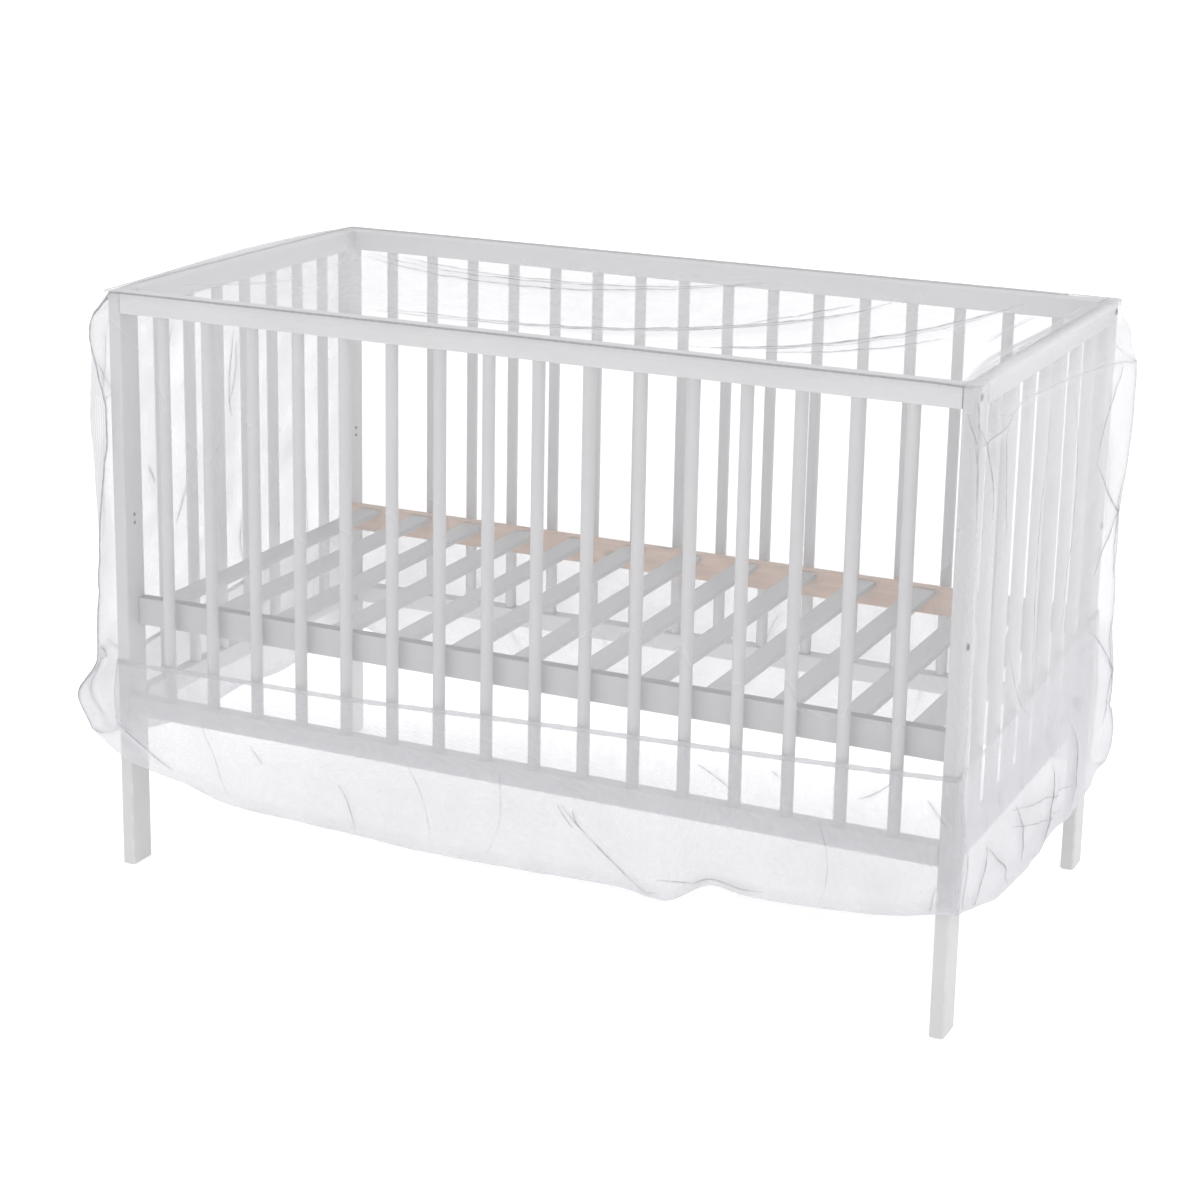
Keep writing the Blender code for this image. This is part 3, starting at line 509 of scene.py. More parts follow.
def scale_colour(tree, colour, factor, place):
    inputs = {0: colour, "Scale": factor}
    return add_node(tree, "ShaderNodeVectorMath", place, inputs, operation="SCALE").outputs["Vector"]


def add_bump(tree, shader, height, strength, distance):
    inputs = {"Strength": strength, "Distance": distance, "Height": height}
    bump = add_node(tree, "ShaderNodeBump", (450, -350), inputs)
    tree.links.new(bump.outputs["Normal"], shader.inputs["Normal"])


def opaque(colour):
    return (*colour, 1.0)


# Node groups

def node_group(inputs, outputs):
    """Turns a function that fills in a group's nodes into one that gives the group, made only once. The
    group's inputs are given as name, kind and default, and its outputs as name and kind."""
    def turn(fill):
        def give():
            if fill.__name__ in bpy.data.node_groups:
                return bpy.data.node_groups[fill.__name__]
            group = bpy.data.node_groups.new(fill.__name__, "ShaderNodeTree")
            for label, kind, default in inputs:
                socket = group.interface.new_socket(name=label, in_out="INPUT", socket_type=kind)
                if default is not None:
                    socket.default_value = default
            for label, kind in outputs:
                group.interface.new_socket(name=label, in_out="OUTPUT", socket_type=kind)
            entry = add_node(group, "NodeGroupInput", (-1200, 0))
            leave = add_node(group, "NodeGroupOutput", (800, 0))
            fill_inputs(group, leave, fill(group, entry.outputs))
            return group
        return give
    return turn


@node_group((("Vector", "NodeSocketVector", None), ("Edge", "NodeSocketFloat", 0.0),
             ("Paint", "NodeSocketColor", (0.7, 0.7, 0.7, 1.0)), ("Rubbed", "NodeSocketFloat", 0.10)),
            (("Color", "NodeSocketColor"), ("Roughness", "NodeSocketFloat"), ("Height", "NodeSocketFloat")))
def paint_film(group, given):
    """Brushed paint: slow changes of tone, a fine orange peel, and edges made lighter in patches."""
    slow = noise(group, given["Vector"], (-900, 300), 7.0, 3.0)
    fine = noise(group, given["Vector"], (-900, 0), 420.0)
    edge_patches = noise(group, given["Vector"], (-900, -300), 60.0, 5.0)
    tone = spread(group, slow, (-650, 300), (0.3, 0.7), (0.965, 1.02))
    patch = spread(group, edge_patches, (-650, -300), (0.42, 0.62))
    # Lighter patches along the rounded edges, by the amount given
    edge_lift = calculate(group, "MULTIPLY", given["Edge"], patch, (-400, -200))
    edge_lift = calculate(group, "MULTIPLY", edge_lift, given["Rubbed"], (-200, -200))
    lift = calculate(group, "ADD", tone, edge_lift, (0, 100))
    shade = scale_colour(group, given["Paint"], lift, (250, 200))
    rough = spread(group, slow, (250, -100), target=(0.34, 0.46))
    return {"Color": shade, "Roughness": rough, "Height": fine}


@node_group((("Vector", "NodeSocketVector", None), ("Light", "NodeSocketColor", (0.76, 0.6, 0.48, 1.0)),
             ("Dark", "NodeSocketColor", (0.55, 0.36, 0.26, 1.0))),
            (("Color", "NodeSocketColor"), ("Height", "NodeSocketFloat")))
def pine_grain(group, given):
    """Bare pine cut along the grain: long rings from stretched noise, and a few round knots."""
    stretch = add_node(group, "ShaderNodeMapping", (-980, 100),
                       {"Scale": (2.0, 26.0, 26.0), "Vector": given["Vector"]})
    rings = noise(group, stretch.outputs["Vector"], (-760, 200), 1.0, 4.0, 0.4)
    turns = calculate(group, "MULTIPLY", rings, 46.0, (-560, 200))
    wave = calculate(group, "SINE", turns, None, (-400, 200))
    bands = spread(group, wave, (-220, 200), (-1.0, 1.0), (0.0, 0.35))
    spots = add_node(group, "ShaderNodeMapping", (-980, -250),
                     {"Scale": (9.0, 26.0, 26.0), "Vector": given["Vector"]})
    knots = add_node(group, "ShaderNodeTexVoronoi", (-760, -250),
                     {"Scale": 1.0, "Vector": spots.outputs["Vector"]})
    knot = spread(group, knots.outputs["Distance"], (-560, -250), (0.22, 0.10), kind="SMOOTHSTEP")
    darker = calculate(group, "MAXIMUM", bands, knot, (0, 0))
    return {"Color": mix_colours(group, darker, given["Light"], given["Dark"], (300, 0)), "Height": bands}


@node_group((("Vector", "NodeSocketVector", None), ("Pitch", "NodeSocketFloat", 0.0016),
             ("Hole Cover", "NodeSocketFloat", 0.07), ("Yarn Cover", "NodeSocketFloat", 0.42)),
            (("Cover", "NodeSocketFloat"), ("Yarn", "NodeSocketFloat")))
def net_weave(group, given):
    """Hexagonal net: three cosine waves at sixty degrees add up to a peak at every hole, and the yarn
    runs where their sum is low."""
    turn = calculate(group, "DIVIDE", 4 * pi / sqrt(3), given["Pitch"], (-1000, 200))
    total = None
    for number in range(3):
        angle = number * pi / 3
        row = -250 * number
        along = add_node(group, "ShaderNodeVectorMath", (-800, row),
                         {1: (cos(angle), sin(angle), 0.0), 0: given["Vector"]}, operation="DOT_PRODUCT")
        phase = calculate(group, "MULTIPLY", along.outputs["Value"], turn, (-600, row))
        wave = calculate(group, "COSINE", phase, None, (-400, row))
        total = wave if total is None else calculate(group, "ADD", total, wave, (-200, row))
    yarn = spread(group, total, (50, 0), (0.30, -0.90), kind="SMOOTHSTEP")
    cover = spread(group, yarn, (350, 0), target=(given["Hole Cover"], given["Yarn Cover"]))
    return {"Cover": cover, "Yarn": yarn}


# Materials

def start_material(name):
    material = bpy.data.materials.new(name)
    material.use_nodes = True
    shader = material.node_tree.nodes["Principled BSDF"]
    shader.location = (700, 0)
    return material, material.node_tree, shader


def cached_material(fill):
    """Turns a function that fills in a material's nodes into one that gives the material, made only
    once. The function gives the inputs of the material's shader."""
    name = fill.__name__ + "_finish"

    def give():
        if name in bpy.data.materials:
            return bpy.data.materials[name]
        material, tree, shader = start_material(name)
        fill_inputs(tree, shader, fill(tree, shader))
        return material
    return give


@cached_material
def painted_wood(tree, shader):
    places = object_places(tree, (-300, 100))
    edge = point_value(tree, "edge", (-300, -200))
    film = add_node(tree, "ShaderNodeGroup", (100, 100), node_tree=paint_film())
    # The point attribute tone scales the paint: painted light on the rails and end grilles, painted shade on
    # the base
    tone = point_value(tree, "tone", (-300, -450))
    paint = scale_colour(tree, bpy.context.scene.crib_finish.paint, tone, (-80, -350))
    fill_inputs(tree, film, {"Paint": paint, "Vector": places, "Edge": edge})
    add_bump(tree, shader, film.outputs["Height"], 0.12, 0.0003)
    return {"Base Color": film.outputs["Color"], "Roughness": film.outputs["Roughness"],
            "Specular IOR Level": 0.35}


@cached_material
def bare_pine(tree, shader):
    light = bpy.context.scene.crib_finish.pine
    places = object_places(tree, (-300, 100))
    grain = add_node(tree, "ShaderNodeGroup", (100, 100), node_tree=pine_grain())
    fill_inputs(tree, grain, {"Light": opaque(light), "Dark": opaque([part * 0.66 for part in light]),
                              "Vector": places})
    add_bump(tree, shader, grain.outputs["Height"], 0.15, 0.0004)
    return {"Base Color": grain.outputs["Color"], "Roughness": 0.62}


@cached_material
def bolt_steel(tree, shader):
    marks = noise(tree, object_places(tree, (-300, 100)), (-50, 100), 900.0)
    rough = spread(tree, marks, (200, 0), target=(0.28, 0.50))
    add_bump(tree, shader, marks, 0.1, 0.0001)
    return {"Roughness": rough, "Base Color": opaque(bpy.context.scene.crib_finish.steel), "Metallic": 0.30}


@cached_material
def net_mesh(tree, shader):
    """Sheer net: what it hides grows with the layers of cloth and with how slantwise it is seen, and
    cloth that lies in many layers is painted darker towards the seam colour: painted shade of its folds."""
    cloth = bpy.context.scene.net_cloth
    flat = add_node(tree, "ShaderNodeUVMap", (-900, 200), uv_map="cloth")
    weave = add_node(tree, "ShaderNodeGroup", (-650, 200), node_tree=net_weave())
    fill_inputs(tree, weave, {"Pitch": cloth.pitch, "Hole Cover": cloth.hole_cover,
                              "Yarn Cover": cloth.yarn_cover, "Vector": flat.outputs["UV"]})
    layers = point_value(tree, "layers", (-900, -150))
    slant = add_node(tree, "ShaderNodeLayerWeight", (-900, -400))
    facing = calculate(tree, "SUBTRACT", 1.0, slant.outputs["Facing"], (-650, -400))
    facing = calculate(tree, "MAXIMUM", facing, LEAST_FACING, (-450, -400))
    depth = calculate(tree, "DIVIDE", layers, facing, (-250, -300))
    clear = calculate(tree, "SUBTRACT", 1.0, weave.outputs["Cover"], (-250, 100))
    through = calculate(tree, "POWER", clear, depth, (0, 0))
    cover = calculate(tree, "SUBTRACT", 1.0, through, (250, 0), clamp=True)
    # Painted shade: the more layers, the darker the cloth's colour
    painted_fold_shade = spread(tree, layers, (-250, 400), (1.0, PAINTED_SHADE_LAYERS))
    shade = mix_colours(tree, painted_fold_shade, opaque(cloth.colour), opaque(cloth.seam), (0, 400))
    add_bump(tree, shader, weave.outputs["Yarn"], 0.10, 0.0002)
    return {"Alpha": cover, "Base Color": shade, "Roughness": 0.85, "Specular IOR Level": 0.2,
            "Sheen Weight": 0.15}


@cached_material
def seam_yarn(tree, shader):
    """Folded and overlocked cloth: denser and greyer than the net, with the stitches across it. Where
    the attribute faint is high, it is as pale as the net and hides less."""
    cloth = bpy.context.scene.net_cloth
    stitches = noise(tree, object_places(tree, (-600, 100)), (-350, 100), 520.0, 3.0)
    tone = spread(tree, stitches, (-100, 150), target=(0.86, 1.12))
    faint = point_value(tree, "faint", (-350, -200))
    mixed = mix_colours(tree, faint, opaque(cloth.seam), opaque(cloth.colour), (0, 350))
    shade = scale_colour(tree, mixed, tone, (200, 150))
    cover = spread(tree, stitches, (200, -150), target=(0.45, 0.85))
    lost = calculate(tree, "MULTIPLY", faint, -0.55, (200, -300))
    kept = calculate(tree, "ADD", lost, 1.0, (350, -300))
    shown = calculate(tree, "MULTIPLY", cover, kept, (500, -200))
    add_bump(tree, shader, stitches, 0.4, 0.0004)
    return {"Base Color": shade, "Alpha": shown, "Roughness": 0.9, "Specular IOR Level": 0.2}


@cached_material
def fold_shade(tree, shader):
    """Painted shade along the narrow fold of a crease: a dark line of net several layers deep, a little
    denser here and there.
    """
    uneven = noise(tree, object_places(tree, (-600, 0)), (-350, 0), 45.0)
    cover = spread(tree, uneven, (0, -100), (0.3, 0.7), (0.12, 0.42))
    return {"Alpha": cover, "Base Color": opaque(bpy.context.scene.net_cloth.fold), "Roughness": 0.9,
            "Specular IOR Level": 0.2}


# Meshes from whole arrays

def make_piece(name, verts, faces, material, normals=None, values=None, plane=None):
    """A mesh object at the origin. "values" are point attributes by name; "plane" is a place in the flat
    cloth for each vertex, in metres, which becomes the UV map."""
    mesh = bpy.data.meshes.new(name)
    mesh.from_pydata(np.asarray(verts, float).tolist(), [], faces)
    mesh.update()
    mesh.validate(clean_customdata=False)
    mesh.shade_smooth()
    for label, numbers in (values or {}).items():
        layer = mesh.attributes.new(label, "FLOAT", "POINT")
        layer.data.foreach_set("value", np.asarray(numbers, np.float32))
    if plane is not None:
        corner_vertex = np.empty(len(mesh.loops), np.int32)
        mesh.loops.foreach_get("vertex_index", corner_vertex)
        layer = mesh.uv_layers.new(name="cloth")
        layer.data.foreach_set("uv", np.asarray(plane, np.float32)[corner_vertex].ravel())
    if normals is not None:
        mesh.normals_split_custom_set_from_vertices(np.asarray(normals, float).tolist())
    mesh.materials.append(material)
    item = bpy.data.objects.new(name, mesh)
    bpy.context.scene.collection.objects.link(item)
    return item


def declare(item, slot_name, *nodes):
    """Says which body a piece rides on and hides the nodes that it stands for. Its slot name is not used."""
    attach(item, "root")
    if nodes:
        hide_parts(*nodes)
    return item


def grid_faces(rows, columns, closed=False, looped=False, start=0, flip=False):
    """Quads of a grid of rows by columns, numbered row by row; "closed" joins its last column to its
    first, and "looped" its last row to its first."""
    row, column = np.meshgrid(np.arange(rows if looped else rows - 1),
                              np.arange(columns if closed else columns - 1), indexing="ij")
    below = (row + 1) % rows
    beside = (column + 1) % columns
    quads = np.stack((row * columns + column, row * columns + beside, below * columns + beside,
                      below * columns + column), axis=-1).reshape(-1, 4) + start
    return (quads[:, ::-1] if flip else quads).tolist()


def end_faces(rows, columns, flip=False):
    """The two faces that close the ends of a tube, whose sides are the closed grid of as many rows."""
    first = list(range(columns))
    last = [(rows - 1) * columns + column for column in range(columns)]
    return [first, last[::-1]] if flip else [first[::-1], last]


def join_parts(parts):
    """Puts several parts into one. A part has its verts, its faces, and any rows for each vertex."""
    faces = []
    start = 0
    for part in parts:
        faces += [[vertex + start for vertex in face] for face in part[1]]
        start += len(part[0])
    verts, _, *others = zip(*parts)
    return (np.concatenate(verts), faces, *(np.concatenate(rows) for rows in others))


# Wooden pieces

def with_depth(flat, depth):
    """Rows of flat points and one depth for each row, as points in space."""
    return np.concatenate((flat, np.broadcast_to(depth[:, None, None], flat.shape[:2] + (1,))), axis=2)


def carried_outline(centres, angles, radius, low, high, end_round, axis, edge):
    """A bar: an outline carried along one axis. Its points are centre + radius * (cos a, sin a), with one
    centre and one angle a for each. Near each end it draws in along a quarter circle of radius r: it is
    r (1 - sin t) smaller at r (1 - cos t) from the end, for t from 0 to a right angle."""
    turn = np.linspace(0.0, pi / 2, 4)
    from_end = end_round * (1 - np.cos(turn))
    smaller = end_round * (1 - np.sin(turn))
    places = np.concatenate((low + from_end, (high - from_end)[::-1]))
    inset = np.concatenate((smaller, smaller[::-1]))
    outward = np.stack((np.cos(angles), np.sin(angles)), axis=1)
    verts = with_depth(centres[None] + (radius - inset)[:, None, None] * outward[None], places)
    lean = np.concatenate((-np.cos(turn), np.cos(turn)[::-1]))
    normals = with_depth(np.sqrt(1 - lean ** 2)[:, None, None] * outward[None], lean)
    rows, columns = verts.shape[:2]
    faces = grid_faces(rows, columns, closed=True) + end_faces(rows, columns)
    order = ((2, 0, 1), (1, 2, 0), (0, 1, 2))[axis]
    return (verts.reshape(-1, 3)[:, order], faces, normals.reshape(-1, 3)[:, order], np.tile(edge, rows))


def bar(low, high, axis, radius, end_round=END_ROUND):
    """A rectangular bar between two corners, with its long edges rounded to quarter circles."""
    cross = ((axis + 1) % 3, (axis + 2) % 3)
    steps = np.linspace(0.0, pi / 2, 5)
    centres, angles = [], []
    for number, choice in enumerate(((1, 1), (0, 1), (0, 0), (1, 0))):
        corner = [high[way] - radius if far else low[way] + radius for way, far in zip(cross, choice)]
        centres += [corner] * len(steps)
        angles.append(steps + number * pi / 2)
    edge = np.tile(np.sin(2 * steps), 4)
    return carried_outline(np.array(centres), np.concatenate(angles), radius, low[axis], high[axis],
                           min(end_round, radius), axis, edge)


def dowel(x, y, low_z, high_z, sides=28):
    """A round slat, which stands upright."""
    angles = np.arange(sides) * 2 * pi / sides
    return carried_outline(np.tile((x, y), (sides, 1)), angles, SLAT_DIAMETER / 2, low_z, high_z, END_ROUND,
                           2, np.zeros(sides))


def keep_wood(node, parts, tone=1.0, material=None, slot_name="painted_wood"):
    verts, faces, normals, edge = join_parts(parts)
    # tone scales the paint, to paint light onto some pieces and shade onto others
    values = {"edge": edge, "tone": np.full(len(verts), tone)}
    item = make_piece(node + "_wood", verts, faces, material or painted_wood(), normals, values)
    return declare(item, slot_name, node)


def middle_of(low, high):
    return [(first + last) / 2 for first, last in zip(low, high)]


class CRIB_OT_posts_and_rails(bpy.types.Operator):
    """Build the four posts and the four long rails"""
    bl_idname = "crib.posts_and_rails"
    bl_label = "Posts and rails"

    def execute(self, context):
        finish = context.scene.crib_finish
        for side in ("front", "back"):
            for end in ("left", "right"):
                node = "post_%s_%s" % (side, end)
                keep_wood(node, [bar(*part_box(node), 2, finish.post_round, POST_END_ROUND)])
            for level in ("top", "bottom"):
                node = "rail_%s_%s" % (side, level)
                # Painted light: the rails' paint is scaled brighter
                keep_wood(node, [bar(*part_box(node), 0, finish.rail_round)], RAIL_PAINTED_LIGHT)
        return {"FINISHED"}


class CRIB_OT_side_slats(bpy.types.Operator):
    """Build the sixteen round slats of each long side"""
    bl_idname = "crib.side_slats"
    bl_label = "Side slats"

    def execute(self, context):
        for side in ("front", "back"):
            for number in range(1, SIDE_SLATS + 1):
                node = "slat_%s_%02d" % (side, number)
                low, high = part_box(node)
                x, y, _ = middle_of(low, high)
                keep_wood(node, [dowel(x, y, low[2] - JOINT_GAP, high[2] + JOINT_GAP)])
        return {"FINISHED"}


class CRIB_OT_end_grilles(bpy.types.Operator):
    """Build the grille of each end: two rails with seven round slats between them"""
    bl_idname = "crib.end_grilles"
    bl_label = "End grilles"

    def execute(self, context):
        radius = context.scene.crib_finish.rail_round
        for end in ("left", "right"):
            node = "end_%s" % end
            low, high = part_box(node)
            x, middle_y, _ = middle_of(low, high)
            parts = [bar((low[0], low[1], HEIGHT - RAIL_HIGH), high, 1, radius),
                     bar(low, (high[0], high[1], LOW_RAIL_TOP), 1, radius)]
            for number in range(END_SLATS):
                y = middle_y + (number - (END_SLATS - 1) / 2) * END_SLAT_PITCH
                parts.append(dowel(x, y, LOW_RAIL_TOP - SLAT_INTO_RAIL, HEIGHT - RAIL_HIGH + SLAT_INTO_RAIL))
            # Painted light: the end grilles' paint is scaled brighter
            keep_wood(node, parts, RAIL_PAINTED_LIGHT)
        return {"FINISHED"}


class CRIB_OT_base(bpy.types.Operator):
    """Build the slatted base: the painted front ledger with its cross slats, and the pine back ledger"""
    bl_idname = "crib.base"
    bl_label = "Slatted base"

    def execute(self, context):
        low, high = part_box("base_frame")
        ledger_high = (high[0], low[1] + LEDGER_THICK, high[2])
        parts = [bar(low, ledger_high, 0, LEDGER_ROUND, LEDGER_END_ROUND)]
        top = high[2] - CROSS_SLAT_DROP
        for number in range(CROSS_SLATS):
            x = MIDDLE[0] + (number - (CROSS_SLATS - 1) / 2) * CROSS_SLAT_PITCH
            slat_low = (x - CROSS_SLAT_WIDE / 2, ledger_high[1] - SLAT_INTO_RAIL, top - CROSS_SLAT_THICK)
            parts.append(bar(slat_low, (x + CROSS_SLAT_WIDE / 2, high[1], top), 1, CROSS_SLAT_ROUND))
        base = keep_wood("base_frame", parts)
        place = np.array([vert.co for vert in base.data.vertices])
        # Painted shade: the cross slats and the ledger are darker than the other wood, and the ledger's top
        # face darker still
        painted_shades = np.where(place[:, 1] > ledger_high[1] + 0.0005, CROSS_SLAT_PAINTED_SHADE, LEDGER_PAINTED_SHADE)
        painted_shades = np.where(place[:, 2] > high[2] - 0.0004, LEDGER_TOP_PAINTED_SHADE, painted_shades)
        base.data.attributes["tone"].data.foreach_set("value", painted_shades.astype(np.float32))
        node = "base_back_ledger"
        keep_wood(node, [bar(*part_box(node), 0, BACK_LEDGER_ROUND)], 1.0, bare_pine(), "bare_pine")
        return {"FINISHED"}


def socket_head(middle, radius, proud, towards):
    """A bolt head with a hexagon socket, as rings round the X axis. A ring's radius is that of a circle
    or, in the socket, r cos 30 / cos(a - the nearest side's angle), which is a hexagon."""
    sides = 36
    angle = np.arange(sides) * 2 * pi / sides
    hexagon = cos(pi / 6) / np.cos((angle + pi / 6) % (pi / 3) - pi / 6)
    circle = np.ones(sides)
    rings = ((circle * radius, 0.0), (circle * radius, proud * 0.7), (circle * radius * 0.9, proud),
             (hexagon * radius * 0.58, proud), (hexagon * radius * 0.54, proud * 0.15))
    verts = []
    for around, height in rings:
        verts.append(np.stack((np.full(sides, middle[0] + towards * height),
                               middle[1] + around * np.cos(angle),
                               middle[2] + around * np.sin(angle)), axis=1))
    floor = [(len(rings) - 1) * sides + column for column in range(sides)]
    back = list(range(sides))
    faces = grid_faces(len(rings), sides, closed=True, flip=towards < 0)
    faces += [floor, back[::-1]] if towards > 0 else [floor[::-1], back]
    return np.concatenate(verts), faces


def keep_steel(name, parts, *nodes):
    verts, faces = join_parts(parts)
    item = make_piece(name, verts, faces, bolt_steel())
    item.data.set_sharp_from_angle(angle=SHARP_ANGLE)
    declare(item, "bolt_steel", *nodes)


class CRIB_OT_bolts(bpy.types.Operator):
    """Build the bolt heads on the ends of the crib, and the bores for the base's lower place"""
    bl_idname = "crib.bolts"
    bl_label = "Bolts and bores"

    def execute(self, context):
        for end, towards in (("left", -1), ("right", 1)):
            for side in ("front", "back"):
                for level in ("top", "mid"):
                    node = "bolt_%s_%s_%s" % (level, side, end)
                    low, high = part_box(node)
                    _, y, z = middle_of(low, high)
                    seat = (low[0] if towards > 0 else high[0], y, z)
                    radius = (high[2] - low[2]) / 2
                    keep_steel(node + "_head", [socket_head(seat, radius, high[0] - low[0], towards)], node)
        for side in ("front", "back"):
            for end, towards in (("left", 1), ("right", -1)):
                low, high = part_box("post_%s_%s" % (side, end))
                face_x = high[0] if towards > 0 else low[0]
                y = middle_of(low, high)[1]
                parts = [socket_head((face_x, y, z), BORE_RADIUS, BORE_PROUD, towards)
                         for z in (BORE_Z, BORE_Z - BORE_PITCH)]
                keep_steel("bore_%s_%s" % (side, end), parts)
        return {"FINISHED"}


# Shape of the net

def easing(x, places, values):
    """A smooth curve through given points that never overshoots them (monotone cubic). Places and values
    are one column of knots for each column of x."""
    step = np.diff(places, axis=0)
    rise = np.diff(values, axis=0) / step
    same = rise[:-1] * rise[1:] > 0
    mean = 2.0 / (1.0 / np.where(same, rise[:-1], 1.0) + 1.0 / np.where(same, rise[1:], 1.0))
    slope = np.zeros_like(values)
    slope[1:-1] = np.where(same, mean, 0.0)
    cell = np.zeros(x.shape, int)
    for knot in places[1:-1]:
        cell += x >= knot
    start, width, first_value, first_slope = (np.take_along_axis(table, cell, axis=0)
                                              for table in (places, step, values, slope))
    last_value, last_slope = (np.take_along_axis(table, cell + 1, axis=0) for table in (values, slope))
    t = np.clip((x - start) / width, 0.0, 1.0)
    first = first_value * (1 + 2 * t) * (1 - t) ** 2 + first_slope * width * t * (1 - t) ** 2
    last = last_value * t * t * (3 - 2 * t) - last_slope * width * t * t * (1 - t)
    return first + last


def curve_through(x, rows, place, value):
    """The smooth curve through one column of a table, at the places x."""
    places = np.array([getattr(row, place) for row in rows])[:, None]
    values = np.array([getattr(row, value) for row in rows])[:, None]
    return easing(x[:, None], places, values)[:, 0]


def on_parabola(a, b, c, t):
    """The place at t on the parabola that passes a, b and c at t = 0, 1/2 and 1."""
    return a * (1 - t) * (1 - 2 * t) + b * 4 * t * (1 - t) + c * t * (2 * t - 1)


def parabola_slope(a, b, c, t):
    return a * (4 * t - 3) + b * (4 - 8 * t) + c * (4 * t - 1)


def crease_push(creases, u, v):
    """How far creases push the cloth out at (u, v), and how many layers they add.

    A crease follows the parabola through its three places. The nearest place on it is taken from
    samples and bettered three times by stepping along the parabola's slope. It pushes by a bell curve
    of the distance and doubles the cloth over a flat-topped band, and both fade to nothing at its
    ends."""
    out = np.zeros(np.shape(u))
    layers = np.zeros(np.shape(u))
    samples = np.linspace(0.0, 1.0, 17)[:, None]
    for crease in creases:
        places = [np.array(place) for place in (crease.start, crease.middle, crease.end)]
        path = on_parabola(*places, samples)
        reach = 4 * crease.half_width
        box_low = path.min(axis=0) - reach
        box_high = path.max(axis=0) + reach
        near = (u > box_low[0]) & (u < box_high[0]) & (v > box_low[1]) & (v < box_high[1])
        if not near.any():
            continue
        pu = u[near]
        pv = v[near]
        in_u, in_v = zip(*places)
        gap2 = (pu[:, None] - path[:, 0]) ** 2 + (pv[:, None] - path[:, 1]) ** 2
        t = samples[gap2.argmin(axis=1), 0]
        for _ in range(3):
            slope_u = parabola_slope(*in_u, t)
            slope_v = parabola_slope(*in_v, t)
            size = slope_u ** 2 + slope_v ** 2 + 1e-9
            ahead = (pu - on_parabola(*in_u, t)) * slope_u + (pv - on_parabola(*in_v, t)) * slope_v
            t = np.clip(t + ahead / size, 0.0, 1.0)
        gap = np.sqrt((pu - on_parabola(*in_u, t)) ** 2 + (pv - on_parabola(*in_v, t)) ** 2)
        fade = np.sqrt(np.sin(pi * t))
        out[near] += crease.out * fade * np.exp(-0.5 * (gap / (BELL_SHARE * crease.half_width)) ** 2)
        layers[near] += FOLD_LAYERS * crease.layers * fade / (1 + (gap / crease.half_width) ** 6)
    return out, layers


def soft_waves(u, v, seed, length, count=9):
    """Small unevenness: the sum of cosine waves with seeded directions, lengths and starts."""
    chance = np.random.default_rng(seed)
    angle = chance.uniform(0.0, pi, count)
    size = length * chance.uniform(0.6, 1.6, count)
    start = chance.uniform(0.0, 2 * pi, count)
    total = np.zeros(np.shape(u))
    for number in range(count):
        along = u * cos(angle[number]) + v * sin(angle[number])
        total += np.cos(2 * pi * along / size[number] + start[number])
    return total / sqrt(count / 2)


def crumple_lines(u, v, seed, length, width):
    """Thin creases that wander and cross: high where the soft waves pass through nothing."""
    return np.exp(-(soft_waves(u, v, seed, length) / width) ** 2)


def column_places(wall):
    """A wall's columns: the shares along its flat part, the angles on its corner arcs, and the nominal
    places that its tables are read at."""
    turn = np.linspace(pi / 4, 0.0, ARC_COLUMNS, endpoint=False)
    flat = np.linspace(-1.0, 1.0, wall.columns)
    share = np.concatenate((-np.ones(ARC_COLUMNS), flat, np.ones(ARC_COLUMNS)))
    angle = np.concatenate((turn, np.zeros(wall.columns), turn[::-1]))
    side = np.concatenate((-np.ones(ARC_COLUMNS), np.zeros(wall.columns), np.ones(ARC_COLUMNS)))
    half = HALF_SPAN[wall.axis]
    place = share * (half - CORNER_ROUND) + side * CORNER_ROUND * np.sin(angle) / sin(pi / 4)
    return share, angle, side, place


def wall_values(wall):
    place = column_places(wall)[3]
    return {name: curve_through(place, wall.stations, "along", name) for name in Station._fields[1:]}


def wall_out(name, z):
    """How far a wall's outer layer stands off the crib's face at the heights z, rows by columns, and how
    many layers of cloth lie there."""
    wall = WALLS[name]
    cloth = bpy.context.scene.net_cloth
    place = column_places(wall)[3]
    v = wall_values(wall)
    level = np.ones_like(place)
    knots = np.stack((-HEIGHT * level, -SHOULDER_Z * level, -CHEST_Z * level, -WAIST_Z * level,
                      -v["grip_z"], -(v["grip_z"] + v["fold_z"]) / 2, -v["fold_z"]))
    outs = np.stack((FACE_CLEAR * level, v["shoulder"], v["chest"], v["waist"], v["grip"], v["pouch"],
                     POUCH_SHARE_AT_FOLD * v["pouch"]))
    out = easing(-z, knots, outs)
    along = np.broadcast_to(place, z.shape)
    push, layers = crease_push(wall.creases, along, z)
    below = np.clip((v["grip_z"] - z) / POUCH_FADE, 0.0, 1.0)
    loose = np.clip((out - LOOSE_FROM) / LOOSE_SPAN, 0.0, 1.0)
    waves = soft_waves(along, z, wall.seed, WALL_WAVES[0])
    waves = waves + 0.4 * soft_waves(along, z, wall.seed + SHORT_WAVE_SEED, WALL_WAVES[1])
    small = crumple_lines(along * 1.6, z, wall.seed + LINE_SEED, WALL_LINES, 0.10)
    out = out + push + cloth.crumple * waves * (0.25 + loose) + LINE_HEIGHT * small * below
    denser = POUCH_DENSER * below + LOOSE_DENSER * loose * (1 - below)
    uneven = 0.30 * small * np.clip(below + 0.6 * loose, 0.0, 1.0)
    layers = 1.0 + layers + denser * (1 + 0.10 * waves) + uneven
    return np.maximum(out, LEAST_OUT), layers


